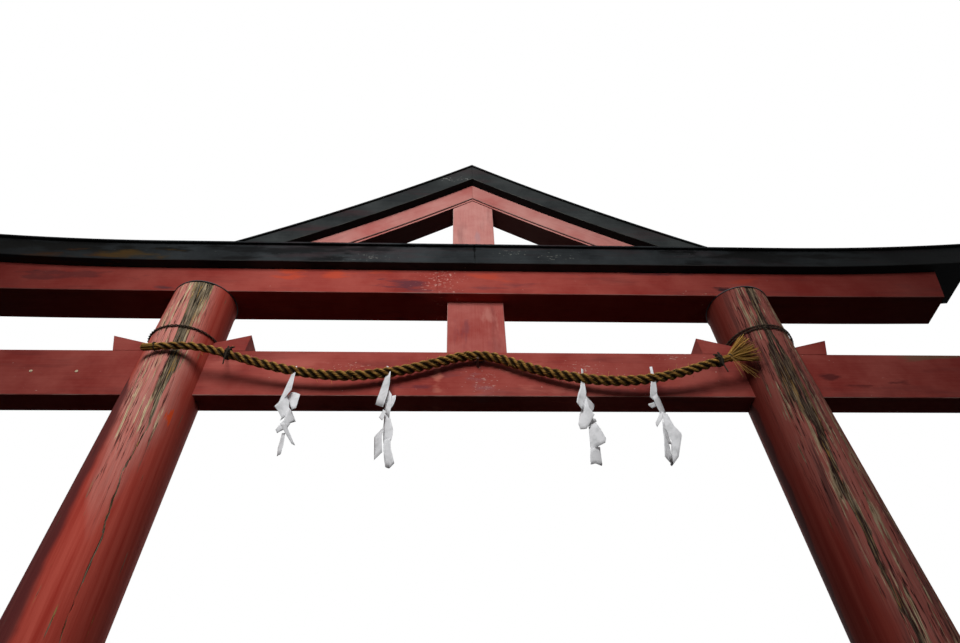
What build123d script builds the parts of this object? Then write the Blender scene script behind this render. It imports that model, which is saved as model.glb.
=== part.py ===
"""Timber shrine gate: two leaning round posts, a wedged through tie beam, a pair of lintels
with rising ends, a gable of mitred rafters over them, and a straw rope with paper streamers
hung across the front.

Millimetres, +Z up, +X to the viewer's right, +Y away from the viewer. The origin is the
middle of the left post's flat foot face, on the ground. Heights in a name that ends in
_height count from the ground or from the piece's own underside; the profiles are drawn on
the elevation plane, whose origin is the middle of the tie beam's underside.
"""

import os
from math import atan, cos, degrees, hypot, pi, radians, sin, tan

from build123d import *

os.makedirs("parts", exist_ok=True)

# Posts
post_spacing = 2730.0  # between the axes, at the underside of the tie beam
post_lean = 1.55  # degrees, each post leans towards the other
post_foot_diameter = 334.0
post_top_diameter = 308.0
post_cap_thickness = 4.0
post_cap_lip = 4.0

# Tie beam, its wedges and two pegs
tie_beam_level = 3540.0  # its underside, above the ground
tie_beam_length = 4520.0
tie_beam_height = 273.0
tie_beam_thickness = 104.0
wedge_tip_reach = 20.0  # from the post's axis
outer_wedge_slope = 0.30
outer_wedge_reach = 318.0  # from the post's axis to the thick end's top
outer_wedge_slant = 28.0
inner_wedge_slope = 0.34
inner_wedge_reach = 308.0
inner_wedge_slant = 8.0
peg_diameter = 13.0
peg_proud = 2.5
peg_spacing = 195.0
peg_from_middle = 1752.0

# Centre strut between the tie beam and the lower lintel
centre_strut_width = 280.0
centre_strut_thickness = 72.0
centre_strut_height = 381.0

# Lower lintel, in two lengths with a half lap
lower_lintel_height = 185.0
lower_lintel_depth = 188.0
lower_lintel_reach = 2407.0  # from the middle to the end of its underside
lower_lintel_joint = -192.0
lower_lintel_lap = 150.0
lower_lintel_curve_radius = 39000.0
lintel_end_slant = 16.0  # degrees, the top of the cut leans outwards

# Upper lintel, in two lengths, under thin roof boards
upper_lintel_height = 140.0  # at the front face
upper_lintel_depth = 290.0
upper_lintel_reach = 2660.0
upper_lintel_ridge = 40.0  # how far the ridge stands above the front face
lintel_straight_half = 1600.0  # beyond this the lintels curve up
upper_lintel_curve_radius = 9600.0
roof_board_thickness = 10.0
roof_board_overhang = 15.0

# Gable over the upper lintel, each side part of one large circle
gable_apex_level = 1899.0  # top of the boards at the middle, above the tie beam's underside
gable_foot_level = 1013.0
gable_foot_reach = 1300.0
gable_sag = 28.5
gable_board_thickness = 8.0
gable_board_overhang = 9.0
gable_beam_height = 113.5
gable_beam_depth = 236.0
gable_rafter_height = 116.0
gable_rafter_depth = 139.0
rafter_strip_height = 12.0
rafter_strip_setback = 9.0
gable_strut_width = 231.0
gable_strut_thickness = 112.0

# Straw rope and what hangs on it
rope_diameter = 48.0
rope_tip_length = 55.0
rope_tip_diameter = 24.0
rope_tip_sides = 12
binding_wall = 4.0
binding_length = 22.0
binding_reach = 1080.0
hanger_diameter = 8.0
hanger_level = 246.0  # where a hanger meets the tie beam's face
tassel_length = 150.0
tassel_spread = 125.0
tassel_thickness = 60.0
tassel_corner = 18.0
rope_nail_diameter = 10.0
rope_nail_length = 52.0
post_tie_diameter = 9.0
post_tie_sides = 32
left_tie_levels = (49.0,)  # of each ring at the post's front, above the tie beam's top
right_tie_levels = (65.5, 83.0)
streamer_neck = 18.0
streamer_thickness = 3.0
streamer_places = (-797.0, -396.0, 452.0, 750.0)

# Clearances and eased edges
seat_gap = 0.3
mortise_gap = 0.5
arris = 2.5

# Places that follow from these
tie_z = tie_beam_level
lean = tan(radians(post_lean))
middle_x = post_spacing / 2 + lean * tie_z
lower_lintel_z = tie_beam_height + centre_strut_height
upper_lintel_z = lower_lintel_z + lower_lintel_height
post_height = tie_z + lower_lintel_z - post_cap_thickness
elevation = Plane(origin=(middle_x, 0, tie_z), x_dir=(1, 0, 0), z_dir=(0, -1, 0))
rope_frame = Plane(origin=(middle_x, 0, tie_z))
gate_middle = Plane(origin=(middle_x, 0, 0), z_dir=(1, 0, 0))


def export(part, name):
    part.label = name
    export_step(part, f"parts/{name}.step")


def export_mirrored(part, name):
    """The same piece on the other side of the gate."""
    with BuildPart() as other:
        add(mirror(part, about=gate_middle))
    export(other.part, name)


def ease(half_depth):
    """Planes off the edges round a piece's front and back faces, as its maker would."""
    ring = [edge for edge in edges() if abs(abs(edge.center().Y) - half_depth) < 0.01]
    chamfer([edge for edge in ring if edge.geom_type != GeomType.CIRCLE or edge.length > 200], arris)


def post_reach(level):
    """Distance from the gate's middle to a post's axis, at a level above the tie beam's underside."""
    return post_spacing / 2 - lean * level


def post_radius(level):
    share = (tie_z + level) / post_height
    return (post_foot_diameter + (post_top_diameter - post_foot_diameter) * share) / 2


# Posts: logs that taper, stood at a slight lean with foot and head cut level. Each has one
# through mortise, whose roof slopes down to the axis from both faces to take the wedges.
log_spare = 40.0
taper_angle = degrees(atan((post_foot_diameter - post_top_diameter) / 2 / post_height))
log_length = (post_height + 2 * log_spare) / cos(radians(post_lean))
log_plane = Plane(
    origin=(-lean * log_spare, 0, -log_spare),
    z_dir=(sin(radians(post_lean)), 0, cos(radians(post_lean))),
)
mortise_x = -post_reach(tie_beam_height)
mortise_half = post_foot_diameter
mortise_roof = tie_beam_height + mortise_gap
outer_mouth = mortise_roof + outer_wedge_slope * mortise_half
inner_mouth = mortise_roof + inner_wedge_slope * mortise_half
with BuildPart() as left_post:
    with BuildSketch(log_plane):
        Circle(post_foot_diameter / 2)
    extrude(amount=log_length, taper=taper_angle)
    split(bisect_by=Plane.XY, keep=Keep.TOP)
    split(bisect_by=Plane.XY.offset(post_height), keep=Keep.BOTTOM)
    with BuildSketch(elevation):
        with BuildLine():
            Polyline(
                (mortise_x - mortise_half, 0),
                (mortise_x + mortise_half, 0),
                (mortise_x + mortise_half, inner_mouth),
                (mortise_x, mortise_roof),
                (mortise_x - mortise_half, outer_mouth),
                close=True,
            )
        make_face()
    extrude(amount=tie_beam_thickness / 2 + mortise_gap, both=True, mode=Mode.SUBTRACT)
export(left_post.part, "left_post")
export_mirrored(left_post.part, "right_post")

# Thin sheet discs that cover the posts' end grain, under the lower lintel.
cap_origin = (middle_x - post_reach(lower_lintel_z), 0, post_height)
with BuildPart() as left_post_cap:
    with BuildSketch(Plane(origin=cap_origin)):
        Circle(post_radius(lower_lintel_z) + post_cap_lip)
    extrude(amount=post_cap_thickness)
export(left_post_cap.part, "left_post_cap")
export_mirrored(left_post_cap.part, "right_post_cap")

# Tie beam: one long plank on edge, through both posts, with two pegs in its left end.
peg_places = [(-peg_from_middle - i * peg_spacing, tie_beam_height / 2) for i in range(2)]
with BuildPart() as tie_beam:
    with BuildSketch(elevation):
        Rectangle(tie_beam_length, tie_beam_height, align=(Align.CENTER, Align.MIN))
    extrude(amount=tie_beam_thickness / 2, both=True)
    ease(tie_beam_thickness / 2)
    with BuildSketch(elevation):
        with Locations(*peg_places):
            Circle(peg_diameter / 2 + seat_gap)
    extrude(amount=tie_beam_thickness, both=True, mode=Mode.SUBTRACT)
export(tie_beam.part, "tie_beam")

with BuildPart() as tie_beam_pegs:
    with BuildSketch(elevation):
        with Locations(*peg_places):
            Circle(peg_diameter / 2)
    extrude(amount=tie_beam_thickness / 2 + peg_proud, both=True)
export(tie_beam_pegs.part, "tie_beam_pegs")


def make_wedge(side, slope, reach, slant):
    """A wedge driven over the tie beam into the left post, from the outside (-1) or inside (1)."""
    with BuildPart() as wedge:
        with BuildSketch(elevation):
            with BuildLine():
                Polyline(
                    (mortise_x + side * wedge_tip_reach, tie_beam_height),
                    (mortise_x + side * (reach - slant), tie_beam_height),
                    (mortise_x + side * reach, tie_beam_height + slope * reach),
                    (mortise_x + side * wedge_tip_reach, tie_beam_height + slope * wedge_tip_reach),
                    close=True,
                )
            make_face()
        extrude(amount=tie_beam_thickness / 2, both=True)
    return wedge.part


# Wedges: two to a post, thick ends outwards, that lock the tie beam in its mortises.
for place, side, slope, reach, slant in (
    ("outer", -1, outer_wedge_slope, outer_wedge_reach, outer_wedge_slant),
    ("inner", 1, inner_wedge_slope, inner_wedge_reach, inner_wedge_slant),
):
    wedge = make_wedge(side, slope, reach, slant)
    export(wedge, f"left_{place}_wedge")
    export_mirrored(wedge, f"right_{place}_wedge")

# Centre strut: a short wide board, set back from the tie beam's face.
with BuildPart() as centre_strut:
    with BuildSketch(elevation):
        with Locations((0, tie_beam_height)):
            Rectangle(centre_strut_width, centre_strut_height, align=(Align.CENTER, Align.MIN))
    extrude(amount=centre_strut_thickness / 2, both=True)
    ease(centre_strut_thickness / 2)
export(centre_strut.part, "centre_strut")


def rise(reach, radius):
    """How far a lintel's curve has risen, at a distance from the gate's middle."""
    past = max(0.0, reach - lintel_straight_half)
    return radius - (radius**2 - past**2) ** 0.5


def cut_left_end(reach, level):
    """Cuts a lintel's left end on a slant through its lower edge, and keeps the inner piece."""
    slant = radians(lintel_end_slant)
    origin = (middle_x - reach, 0, tie_z + level)
    end_plane = Plane(origin=origin, x_dir=(0, 1, 0), z_dir=(cos(slant), 0, sin(slant)))
    split(bisect_by=end_plane, keep=Keep.TOP)


def make_lower_lintel(shoulder, tongue_side):
    """A left-hand length of the lower lintel: full depth as far as shoulder, then a half lap tongue."""
    under_radius, top_radius = lower_lintel_curve_radius, upper_lintel_curve_radius
    far = lower_lintel_reach + lower_lintel_height
    half_way = (lintel_straight_half + far) / 2
    top = upper_lintel_z
    tongue = shoulder + lower_lintel_lap
    with BuildPart() as lintel:
        with BuildSketch(elevation):
            with BuildLine():
                under_end = (-far, lower_lintel_z + rise(far, under_radius))
                top_end = (-far, top + rise(far, top_radius))
                Polyline((-lintel_straight_half, top), (tongue, top), (tongue, lower_lintel_z))
                Line((tongue, lower_lintel_z), (-lintel_straight_half, lower_lintel_z))
                ThreePointArc(
                    (-lintel_straight_half, lower_lintel_z),
                    (-half_way, lower_lintel_z + rise(half_way, under_radius)),
                    under_end,
                )
                Line(under_end, top_end)
                ThreePointArc(
                    top_end,
                    (-half_way, top + rise(half_way, top_radius)),
                    (-lintel_straight_half, top),
                )
            make_face()
        extrude(amount=lower_lintel_depth / 2, both=True)
        with BuildSketch(elevation):
            with Locations((shoulder, lower_lintel_z)):
                corner = (Align.MIN, Align.MIN)
                Rectangle(lower_lintel_lap, lower_lintel_height, align=corner)
        extrude(amount=tongue_side * lower_lintel_depth / 2, mode=Mode.SUBTRACT)
        end_level = lower_lintel_z + rise(lower_lintel_reach, under_radius)
        cut_left_end(lower_lintel_reach, end_level)
        ease(lower_lintel_depth / 2)
    return lintel.part


# Lower lintel: two lengths of red timber, half lapped beside the middle, with slanting ends.
export(make_lower_lintel(lower_lintel_joint, 1), "left_lower_lintel")
right_shoulder = -(lower_lintel_joint + lower_lintel_lap)
export_mirrored(make_lower_lintel(right_shoulder, -1), "right_lower_lintel")

# The upper lintel's section, a beam with a low roof top, and the sheet of boards over it.
roof_slope = upper_lintel_ridge / (upper_lintel_depth / 2)
eaves = upper_lintel_depth / 2 + roof_board_overhang
eaves_z = upper_lintel_height + upper_lintel_ridge - roof_slope * eaves
ridge_z = upper_lintel_height + upper_lintel_ridge
lintel_section = [
    (-upper_lintel_depth / 2, 0),
    (upper_lintel_depth / 2, 0),
    (upper_lintel_depth / 2, upper_lintel_height),
    (0, ridge_z),
    (-upper_lintel_depth / 2, upper_lintel_height),
]
board_section = [
    (-eaves, eaves_z),
    (0, ridge_z),
    (eaves, eaves_z),
    (eaves, eaves_z + roof_board_thickness),
    (0, ridge_z + roof_board_thickness),
    (-eaves, eaves_z + roof_board_thickness),
]


def make_upper_length(section, reach):
    """Sweeps a section from the gate's middle out along the upper lintel's curve, to the left."""
    far = reach + upper_lintel_height
    half_way = (lintel_straight_half + far) / 2
    radius = upper_lintel_curve_radius
    with BuildPart() as length:
        with BuildLine(elevation) as path:
            Line((0, upper_lintel_z), (-lintel_straight_half, upper_lintel_z))
            ThreePointArc(
                (-lintel_straight_half, upper_lintel_z),
                (-half_way, upper_lintel_z + rise(half_way, radius)),
                (-far, upper_lintel_z + rise(far, radius)),
            )
        start = (middle_x, 0, tie_z + upper_lintel_z)
        with BuildSketch(Plane(origin=start, x_dir=(0, -1, 0), z_dir=(-1, 0, 0))):
            with BuildLine():
                Polyline(*section, close=True)
            make_face()
        sweep(path=path.wire())
        cut_left_end(reach, upper_lintel_z + rise(reach, radius))
        if section is lintel_section:
            ease(upper_lintel_depth / 2)
    return length.part


# Upper lintel and its roof boards: black, in two lengths that butt at the middle.
for piece, section, reach in (
    ("upper_lintel", lintel_section, upper_lintel_reach),
    ("roof_boards", board_section, upper_lintel_reach + roof_board_overhang),
):
    length = make_upper_length(section, reach)
    export(length, f"left_{piece}")
    export_mirrored(length, f"right_{piece}")

# The space under the roof boards' upper face, which the gable's feet are cut to sit on.
roof_top_z = upper_lintel_z + ridge_z + roof_board_thickness + seat_gap
with BuildPart() as roof_space:
    with BuildSketch(Plane(origin=(middle_x, 0, tie_z + roof_top_z), z_dir=(1, 0, 0), x_dir=(0, 1, 0))):
        with BuildLine():
            wide = 2 * eaves
            low = -roof_slope * wide
            Polyline((wide, low), (0, 0), (-wide, low), (-wide, -wide), (wide, -wide), close=True)
        make_face()
    extrude(amount=lintel_straight_half, both=True)

# The gable's circles: one centre a side, up and outwards, so that each edge is hollow above.
gable_fall = gable_apex_level - gable_foot_level
gable_chord = hypot(gable_foot_reach, gable_fall)
gable_radius = gable_chord**2 / (8 * gable_sag) + gable_sag / 2
centre_out = (gable_radius - gable_sag) / gable_chord
gable_centre_x = gable_foot_reach / 2 + centre_out * gable_fall
gable_centre_z = gable_foot_level + gable_fall / 2 + centre_out * gable_foot_reach


def make_gable_layer(inner_radius, height, depth):
    """One layer of the gable's left side, between two circles, from the middle to the roof boards."""
    with BuildPart() as layer:
        with BuildSketch(elevation):
            with Locations((-gable_centre_x, gable_centre_z)):
                Circle(inner_radius + height)
                Circle(inner_radius, mode=Mode.SUBTRACT)
            with Locations((0, upper_lintel_z)):
                corner = (Align.MAX, Align.MIN)
                Rectangle(lintel_straight_half, gable_apex_level, align=corner, mode=Mode.INTERSECT)
        extrude(amount=depth / 2, both=True)
        add(roof_space.part, mode=Mode.SUBTRACT)
        if height > 5 * arris:
            ease(depth / 2)
    return layer.part


# Gable: each side is a black beam under thin boards, a red rafter and a thin set-back strip.
strip_depth = gable_rafter_depth - 2 * rafter_strip_setback
board_depth = gable_beam_depth + 2 * gable_board_overhang
beam_radius = gable_radius + gable_board_thickness + seat_gap
rafter_radius = beam_radius + gable_beam_height + seat_gap
strip_radius = rafter_radius + gable_rafter_height + seat_gap
soffit_radius = strip_radius + rafter_strip_height
for piece, inner_radius, height, depth in (
    ("gable_boards", gable_radius, gable_board_thickness, board_depth),
    ("gable_beam", beam_radius, gable_beam_height, gable_beam_depth),
    ("gable_rafter", rafter_radius, gable_rafter_height, gable_rafter_depth),
    ("rafter_strip", strip_radius, rafter_strip_height, strip_depth),
):
    layer = make_gable_layer(inner_radius, height, depth)
    export(layer, f"left_{piece}")
    export_mirrored(layer, f"right_{piece}")

# Gable strut: a post with a pointed head, from the roof boards to the strips.
with BuildPart() as gable_strut:
    with BuildSketch(elevation):
        with Locations((0, upper_lintel_z)):
            strut_blank = gable_apex_level - upper_lintel_z
            Rectangle(gable_strut_width, strut_blank, align=(Align.CENTER, Align.MIN))
        with Locations((gable_centre_x, gable_centre_z), (-gable_centre_x, gable_centre_z)):
            Circle(soffit_radius + seat_gap, mode=Mode.SUBTRACT)
    extrude(amount=gable_strut_thickness / 2, both=True)
    add(roof_space.part, mode=Mode.SUBTRACT)
    ease(gable_strut_thickness / 2)
export(gable_strut.part, "gable_strut")


def bend_radii(points, closed=False):
    """The largest arc that each corner's two runs allow."""
    radii = []
    count = len(points)
    for i in range(0 if closed else 1, count if closed else count - 1):
        before = Vector(points[i]) - Vector(points[i - 1])
        after = Vector(points[(i + 1) % count]) - Vector(points[i])
        half_turn = radians(before.get_angle(after)) / 2
        radii.append(0.45 * min(before.length, after.length) / tan(half_turn))
    return radii


# Straw rope: its line, chosen by hand from the middle of the tie beam's underside. It lies
# across the left post, sags to the nail at the middle and again before the right post.
rope_route = [
    (-1388, -180, 163),
    (-1262, -179, 178),
    (-1130, -161, 158),
    (-980, -141, 117),
    (-830, -125, 82),
    (-680, -113, 63),
    (-545, -104, 66),
    (-420, -97, 89),
    (-300, -92, 121),
    (-175, -89, 168),
    (-60, -88, 212),
    (60, -88, 212),
    (175, -89, 158),
    (300, -93, 105),
    (430, -99, 66),
    (570, -108, 38),
    (720, -119, 35),
    (870, -133, 60),
    (985, -147, 97),
    (1069, -156, 121),
]
rope_radii = bend_radii(rope_route)
with BuildLine(rope_frame) as rope_line:
    FilletPolyline(*rope_route, radius=rope_radii)
rope_path = rope_line.wire()
print("rope bend radii", [round(radius) for radius in rope_radii])
print("rope length", round(rope_path.length))


def rope_plane(share):
    """The plane across the rope at a share of its length, facing along it."""
    return Plane(origin=rope_path.position_at(share), z_dir=rope_path.tangent_at(share))


def rope_share(place):
    """The share of the rope's length at a distance to the right of the gate's middle."""
    low, high = 0.0, 1.0
    for _ in range(40):
        share = (low + high) / 2
        if rope_path.position_at(share).X < middle_x + place:
            low = share
        else:
            high = share
    return low


with BuildPart() as straw_rope:
    with BuildSketch(rope_plane(0)):
        Circle(rope_diameter / 2)
    sweep(path=rope_path)
export(straw_rope.part, "straw_rope")
tube_volume = pi * rope_diameter**2 / 4 * rope_path.length
print("rope volume over section times length", round(straw_rope.part.volume / tube_volume, 5))

# The rope's left end runs out to a blunt point of straw.
tip_taper = degrees(atan((rope_diameter - rope_tip_diameter) / 2 / rope_tip_length))
with BuildPart() as rope_tip:
    with BuildSketch(Plane(origin=rope_path.position_at(0), z_dir=-rope_path.tangent_at(0))):
        RegularPolygon(rope_diameter / 2, rope_tip_sides)
    extrude(amount=rope_tip_length, taper=tip_taper)
export(rope_tip.part, "rope_tip")


def hanger_plane(middle):
    """From a binding's middle, facing the spot on the tie beam's face where its hanger ends."""
    away = 1.05 * (middle.X - middle_x)
    spot = Vector(middle_x + away, -tie_beam_thickness / 2, tie_z + hanger_level)
    return Plane(origin=middle, z_dir=spot - middle)


beam_face = Plane(origin=(middle_x, -tie_beam_thickness / 2 - seat_gap, tie_z), z_dir=(0, -1, 0))

# Dark cord bound round the rope, near its left end and where the tassel starts. From each
# binding a short hanger of the same cord goes up behind the rope to the tie beam's face.
left_share = rope_share(-binding_reach)
with BuildPart() as left_binding:
    with BuildSketch(rope_plane(left_share)):
        Circle(rope_diameter / 2 + binding_wall)
    extrude(amount=binding_length / 2, both=True)
    with BuildSketch(hanger_plane(rope_path.position_at(left_share))):
        Circle(hanger_diameter / 2)
    extrude(amount=tie_beam_height)
    split(bisect_by=beam_face, keep=Keep.TOP)
    with BuildSketch(rope_plane(left_share)):
        Circle(rope_diameter / 2 + seat_gap)
    extrude(amount=binding_length, both=True, mode=Mode.SUBTRACT)
export(left_binding.part, "left_binding")

with BuildPart() as right_binding:
    with BuildSketch(rope_plane(1)):
        Circle(rope_diameter / 2 + binding_wall)
    extrude(amount=binding_length)
    with BuildSketch(hanger_plane(rope_plane(1).offset(hanger_diameter / 2).origin)):
        Circle(hanger_diameter / 2)
    extrude(amount=tie_beam_height)
    split(bisect_by=beam_face, keep=Keep.TOP)
export(right_binding.part, "right_binding")


def draw_tassel_section(half_wide, half_high, corner):
    """A rectangle with its corners cut off at 45 degrees."""
    Rectangle(2 * half_wide, 2 * half_high)
    chamfer(vertices(), corner)


# Tassel: the rope's straws, loose beyond the whipping, spread in a fan before the right post.
tassel_foot = rope_plane(1).offset(binding_length).origin
tassel_axis = rope_path.tangent_at(1)
tassel_start = Plane(origin=tassel_foot, x_dir=(0, 1, 0), z_dir=tassel_axis)
with BuildPart() as rope_tassel:
    with BuildSketch(tassel_start):
        draw_tassel_section(rope_diameter / 2, rope_diameter / 2, rope_diameter * (1 - 0.5**0.5))
    with BuildSketch(tassel_start.offset(tassel_length)):
        draw_tassel_section(tassel_thickness / 2, tassel_spread / 2, tassel_corner)
    loft(ruled=True)
export(rope_tassel.part, "rope_tassel")

# Nail in the tie beam's face, that the rope's middle rests on.
nail_z = rope_path.position_at(rope_share(0)).Z - tie_z
nail_z -= rope_diameter / 2 + rope_nail_diameter / 2 + seat_gap
with BuildPart() as rope_nail:
    with BuildSketch(elevation.offset(tie_beam_thickness / 2)):
        with Locations((0, nail_z)):
            Circle(rope_nail_diameter / 2)
    extrude(amount=rope_nail_length)
export(rope_nail.part, "rope_nail")


def wedge_clearance():
    """How far above the tie beam a ring of cord passes over the inner wedge beside the post."""
    reach = post_radius(tie_beam_height) + 2 * post_tie_diameter
    over = (post_tie_diameter / 2 + seat_gap) * hypot(1, inner_wedge_slope)
    return inner_wedge_slope * reach + over


def make_ring(inside):
    """One turn of cord with flat sides, level round the origin."""
    half = post_tie_diameter / 2
    with BuildPart() as ring:
        with BuildSketch():
            RegularPolygon(inside + post_tie_diameter, post_tie_sides, major_radius=False)
            RegularPolygon(inside, post_tie_sides, major_radius=False, mode=Mode.SUBTRACT)
        extrude(amount=half, both=True)
        chamfer(edges().filter_by(Plane.XY), half * (2 - 2**0.5))
    return ring.part


def make_post_tie(side, levels):
    """Rings of cord round a post: side is -1 for the left post and 1 for the right. Each is
    low in front, by as much as the wedge lifts it beside the post."""
    half = post_tie_diameter / 2
    with BuildPart() as tie:
        for level in levels:
            lift = max(0.0, wedge_clearance() - levels[0])
            middle = tie_beam_height + level + lift
            tilt = atan(lift / (post_radius(middle) + half))
            origin = (middle_x + side * post_reach(middle), 0, tie_z + middle)
            ring_plane = Plane(origin=origin, x_dir=(1, 0, 0), z_dir=(0, -sin(tilt), cos(tilt)))
            inside = post_radius(middle) / cos(tilt + radians(post_lean)) + seat_gap
            add(ring_plane.location * make_ring(inside))
    return tie.part


# Post ties: dark cord pulled tight round each post, over the wedges.
export(make_post_tie(-1, left_tie_levels), "left_post_tie")
export(make_post_tie(1, right_tie_levels), "right_post_tie")

# Paper streamers: each is cut and folded to hang in steps, from a narrow neck in the rope.
streamer_steps = [
    [(-streamer_neck / 2, 0), (streamer_neck / 2, 0), (26, -118), (-40, -100)],
    [(-16, -84), (42, -104), (28, -196), (-34, -168)],
    [(-30, -162), (32, -186), (20, -298), (-38, -282)],
    [(-14, -262), (44, -280), (30, -400), (-28, -412)],
]
for number, place in enumerate(streamer_places, start=1):
    share = rope_share(place)
    along = rope_path.tangent_at(share)
    steepness = abs(along.Z) / hypot(along.X, along.Y)
    under_rope = rope_diameter / 2 * hypot(1, steepness) + streamer_neck / 2 * steepness
    top = rope_path.position_at(share) - Vector(0, 0, under_rope + seat_gap)
    with BuildPart() as streamer:
        with BuildSketch(Plane(origin=top, x_dir=(1, 0, 0), z_dir=(0, -1, 0))):
            for step in streamer_steps:
                with BuildLine():
                    Polyline(*step, close=True)
                make_face()
        extrude(amount=streamer_thickness / 2, both=True)
    export(streamer.part, f"paper_streamer_{number}")
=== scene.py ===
"""Looks for the timber torii gate: weathered red and black paint, a twisted straw rope with its
tassel, dark cord round the posts, and folded paper streamers. Metres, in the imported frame."""

import math
import random

import bmesh
import bpy
from mathutils import Matrix, Vector


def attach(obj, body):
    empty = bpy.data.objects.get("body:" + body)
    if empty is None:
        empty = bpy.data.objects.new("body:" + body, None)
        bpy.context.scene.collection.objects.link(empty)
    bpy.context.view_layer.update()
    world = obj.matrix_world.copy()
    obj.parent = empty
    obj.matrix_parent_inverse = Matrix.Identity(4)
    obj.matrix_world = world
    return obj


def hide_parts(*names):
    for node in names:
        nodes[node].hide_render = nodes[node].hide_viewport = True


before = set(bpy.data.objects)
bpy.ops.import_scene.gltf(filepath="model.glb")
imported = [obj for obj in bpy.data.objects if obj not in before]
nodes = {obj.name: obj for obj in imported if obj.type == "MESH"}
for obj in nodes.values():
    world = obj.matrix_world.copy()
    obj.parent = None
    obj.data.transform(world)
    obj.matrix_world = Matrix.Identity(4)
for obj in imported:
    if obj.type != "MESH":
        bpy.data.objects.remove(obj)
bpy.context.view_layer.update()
scene = bpy.context.scene
scene.view_settings.view_transform = "Standard"

# View. The camera stands under the gate, a little left of its middle, and looks up at the
# lintels through a wide lens. Everything is placed from the gate's middle at the tie beam's
# underside.
def bring_in(name, data):
    """A new object in the scene."""
    thing = bpy.data.objects.new(name, data)
    scene.collection.objects.link(thing)
    return thing


gate_middle = 1.46079
beam_level = 3.540
gate = Vector((gate_middle, 0, beam_level))
camera_pitch = math.radians(48.78)
camera_yaw = math.radians(3.43)
camera_roll = math.radians(-2.12)
picture_width = 960  # pixels
focal_length = 699.82  # pixels, in a picture of that width
lens_place = Vector((-0.1147, -2.2819, -2.0616))  # from the gate's middle at the beam
forward = Vector((
    math.sin(camera_yaw) * math.cos(camera_pitch),
    math.cos(camera_yaw) * math.cos(camera_pitch),
    math.sin(camera_pitch),
))
level_right = Vector((math.cos(camera_yaw), -math.sin(camera_yaw), 0))
level_up = level_right.cross(forward)
right = math.cos(camera_roll) * level_right + math.sin(camera_roll) * level_up
up = math.cos(camera_roll) * level_up - math.sin(camera_roll) * level_right
camera_data = bpy.data.cameras.new("camera")
camera_data.sensor_width = 36.0
camera_data.lens = focal_length / picture_width * camera_data.sensor_width
camera_data.clip_end = 200
camera = bring_in("camera", camera_data)
looking = Matrix((right, up, -forward)).transposed().to_4x4()
camera.matrix_world = Matrix.Translation(gate + lens_place) @ looking
scene.camera = camera

# Light. An open overcast sky, brightest before the gate's left half, with next to nothing
# coming back from below. What the camera sees behind the gate is plain white.
def srgb(code):
    """A hex colour as the linear RGBA that a socket takes."""
    parts = [int(code[i:i + 2], 16) / 255 for i in (0, 2, 4)]
    return [c / 12.92 if c <= 0.04045 else ((c + 0.055) / 1.055) ** 2.4 for c in parts] + [1.0]


def add(tree, kind, inputs=None, **settings):
    """Adds one node: its settings are properties, its inputs are values or other nodes' outputs."""
    node = tree.nodes.new(kind)
    for name, value in settings.items():
        setattr(node, name, value)
    for socket, value in (inputs or {}).items():
        if isinstance(value, bpy.types.NodeSocket):
            tree.links.new(value, node.inputs[socket])
        elif isinstance(value, bpy.types.Node):
            tree.links.new(value.outputs[0], node.inputs[socket])
        else:
            node.inputs[socket].default_value = value
    return node


world = bpy.data.worlds.new("overcast sky")
scene.world = world
world.use_nodes = True
sky = world.node_tree
sky.nodes.clear()
direction = add(sky, "ShaderNodeTexCoord").outputs["Generated"]
height = add(sky, "ShaderNodeSeparateXYZ", {0: direction}).outputs["Z"]
sky_light = add(sky, "ShaderNodeMapRange", {0: height, 1: -0.1, 2: 0.7, 3: 0.008, 4: 0.33})
rays = add(sky, "ShaderNodeLightPath").outputs
plain = rays["Is Camera Ray"]
for kind in ("Is Glossy Ray", "Is Transmission Ray"):
    plain = add(sky, "ShaderNodeMath", {0: plain, 1: rays[kind]}, operation="MAXIMUM")
lit = add(sky, "ShaderNodeBackground", {0: srgb("FFFFFF"), 1: sky_light})
shown = add(sky, "ShaderNodeBackground", {0: srgb("FFFFFF"), 1: 1.0})
add(sky, "ShaderNodeOutputWorld", {0: add(sky, "ShaderNodeMixShader", {0: plain, 1: lit, 2: shown})})

# Two soft lamps stand for the brightest parts of that sky.
lamps_face = Vector((gate_middle, 0, 3.8))
for name, place, width, watts in (
    ("front_sky", (gate_middle - 0.7, -3.6, 5.2), 2.0, 135.0),
    ("back_sky", (gate_middle + 1.0, 8.0, 8.0), 6.0, 300.0),
):
    lamp_data = bpy.data.lights.new(name, "AREA")
    lamp_data.shape = "SQUARE"
    lamp_data.size = width
    lamp_data.energy = watts
    lamp = bring_in(name, lamp_data)
    lamp.location = place
    lamp.rotation_euler = (lamps_face - Vector(place)).to_track_quat("-Z", "Y").to_euler()
    lamp.visible_camera = False


# Floor. It looks pale, but light that falls on it is mostly swallowed, so that little comes back
# up to the lintels' undersides.
def start_finish(name):
    """A material with an empty tree, named for the real finish."""
    material = bpy.data.materials.new(name)
    material.use_nodes = True
    material.node_tree.nodes.clear()
    return material, material.node_tree


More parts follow.
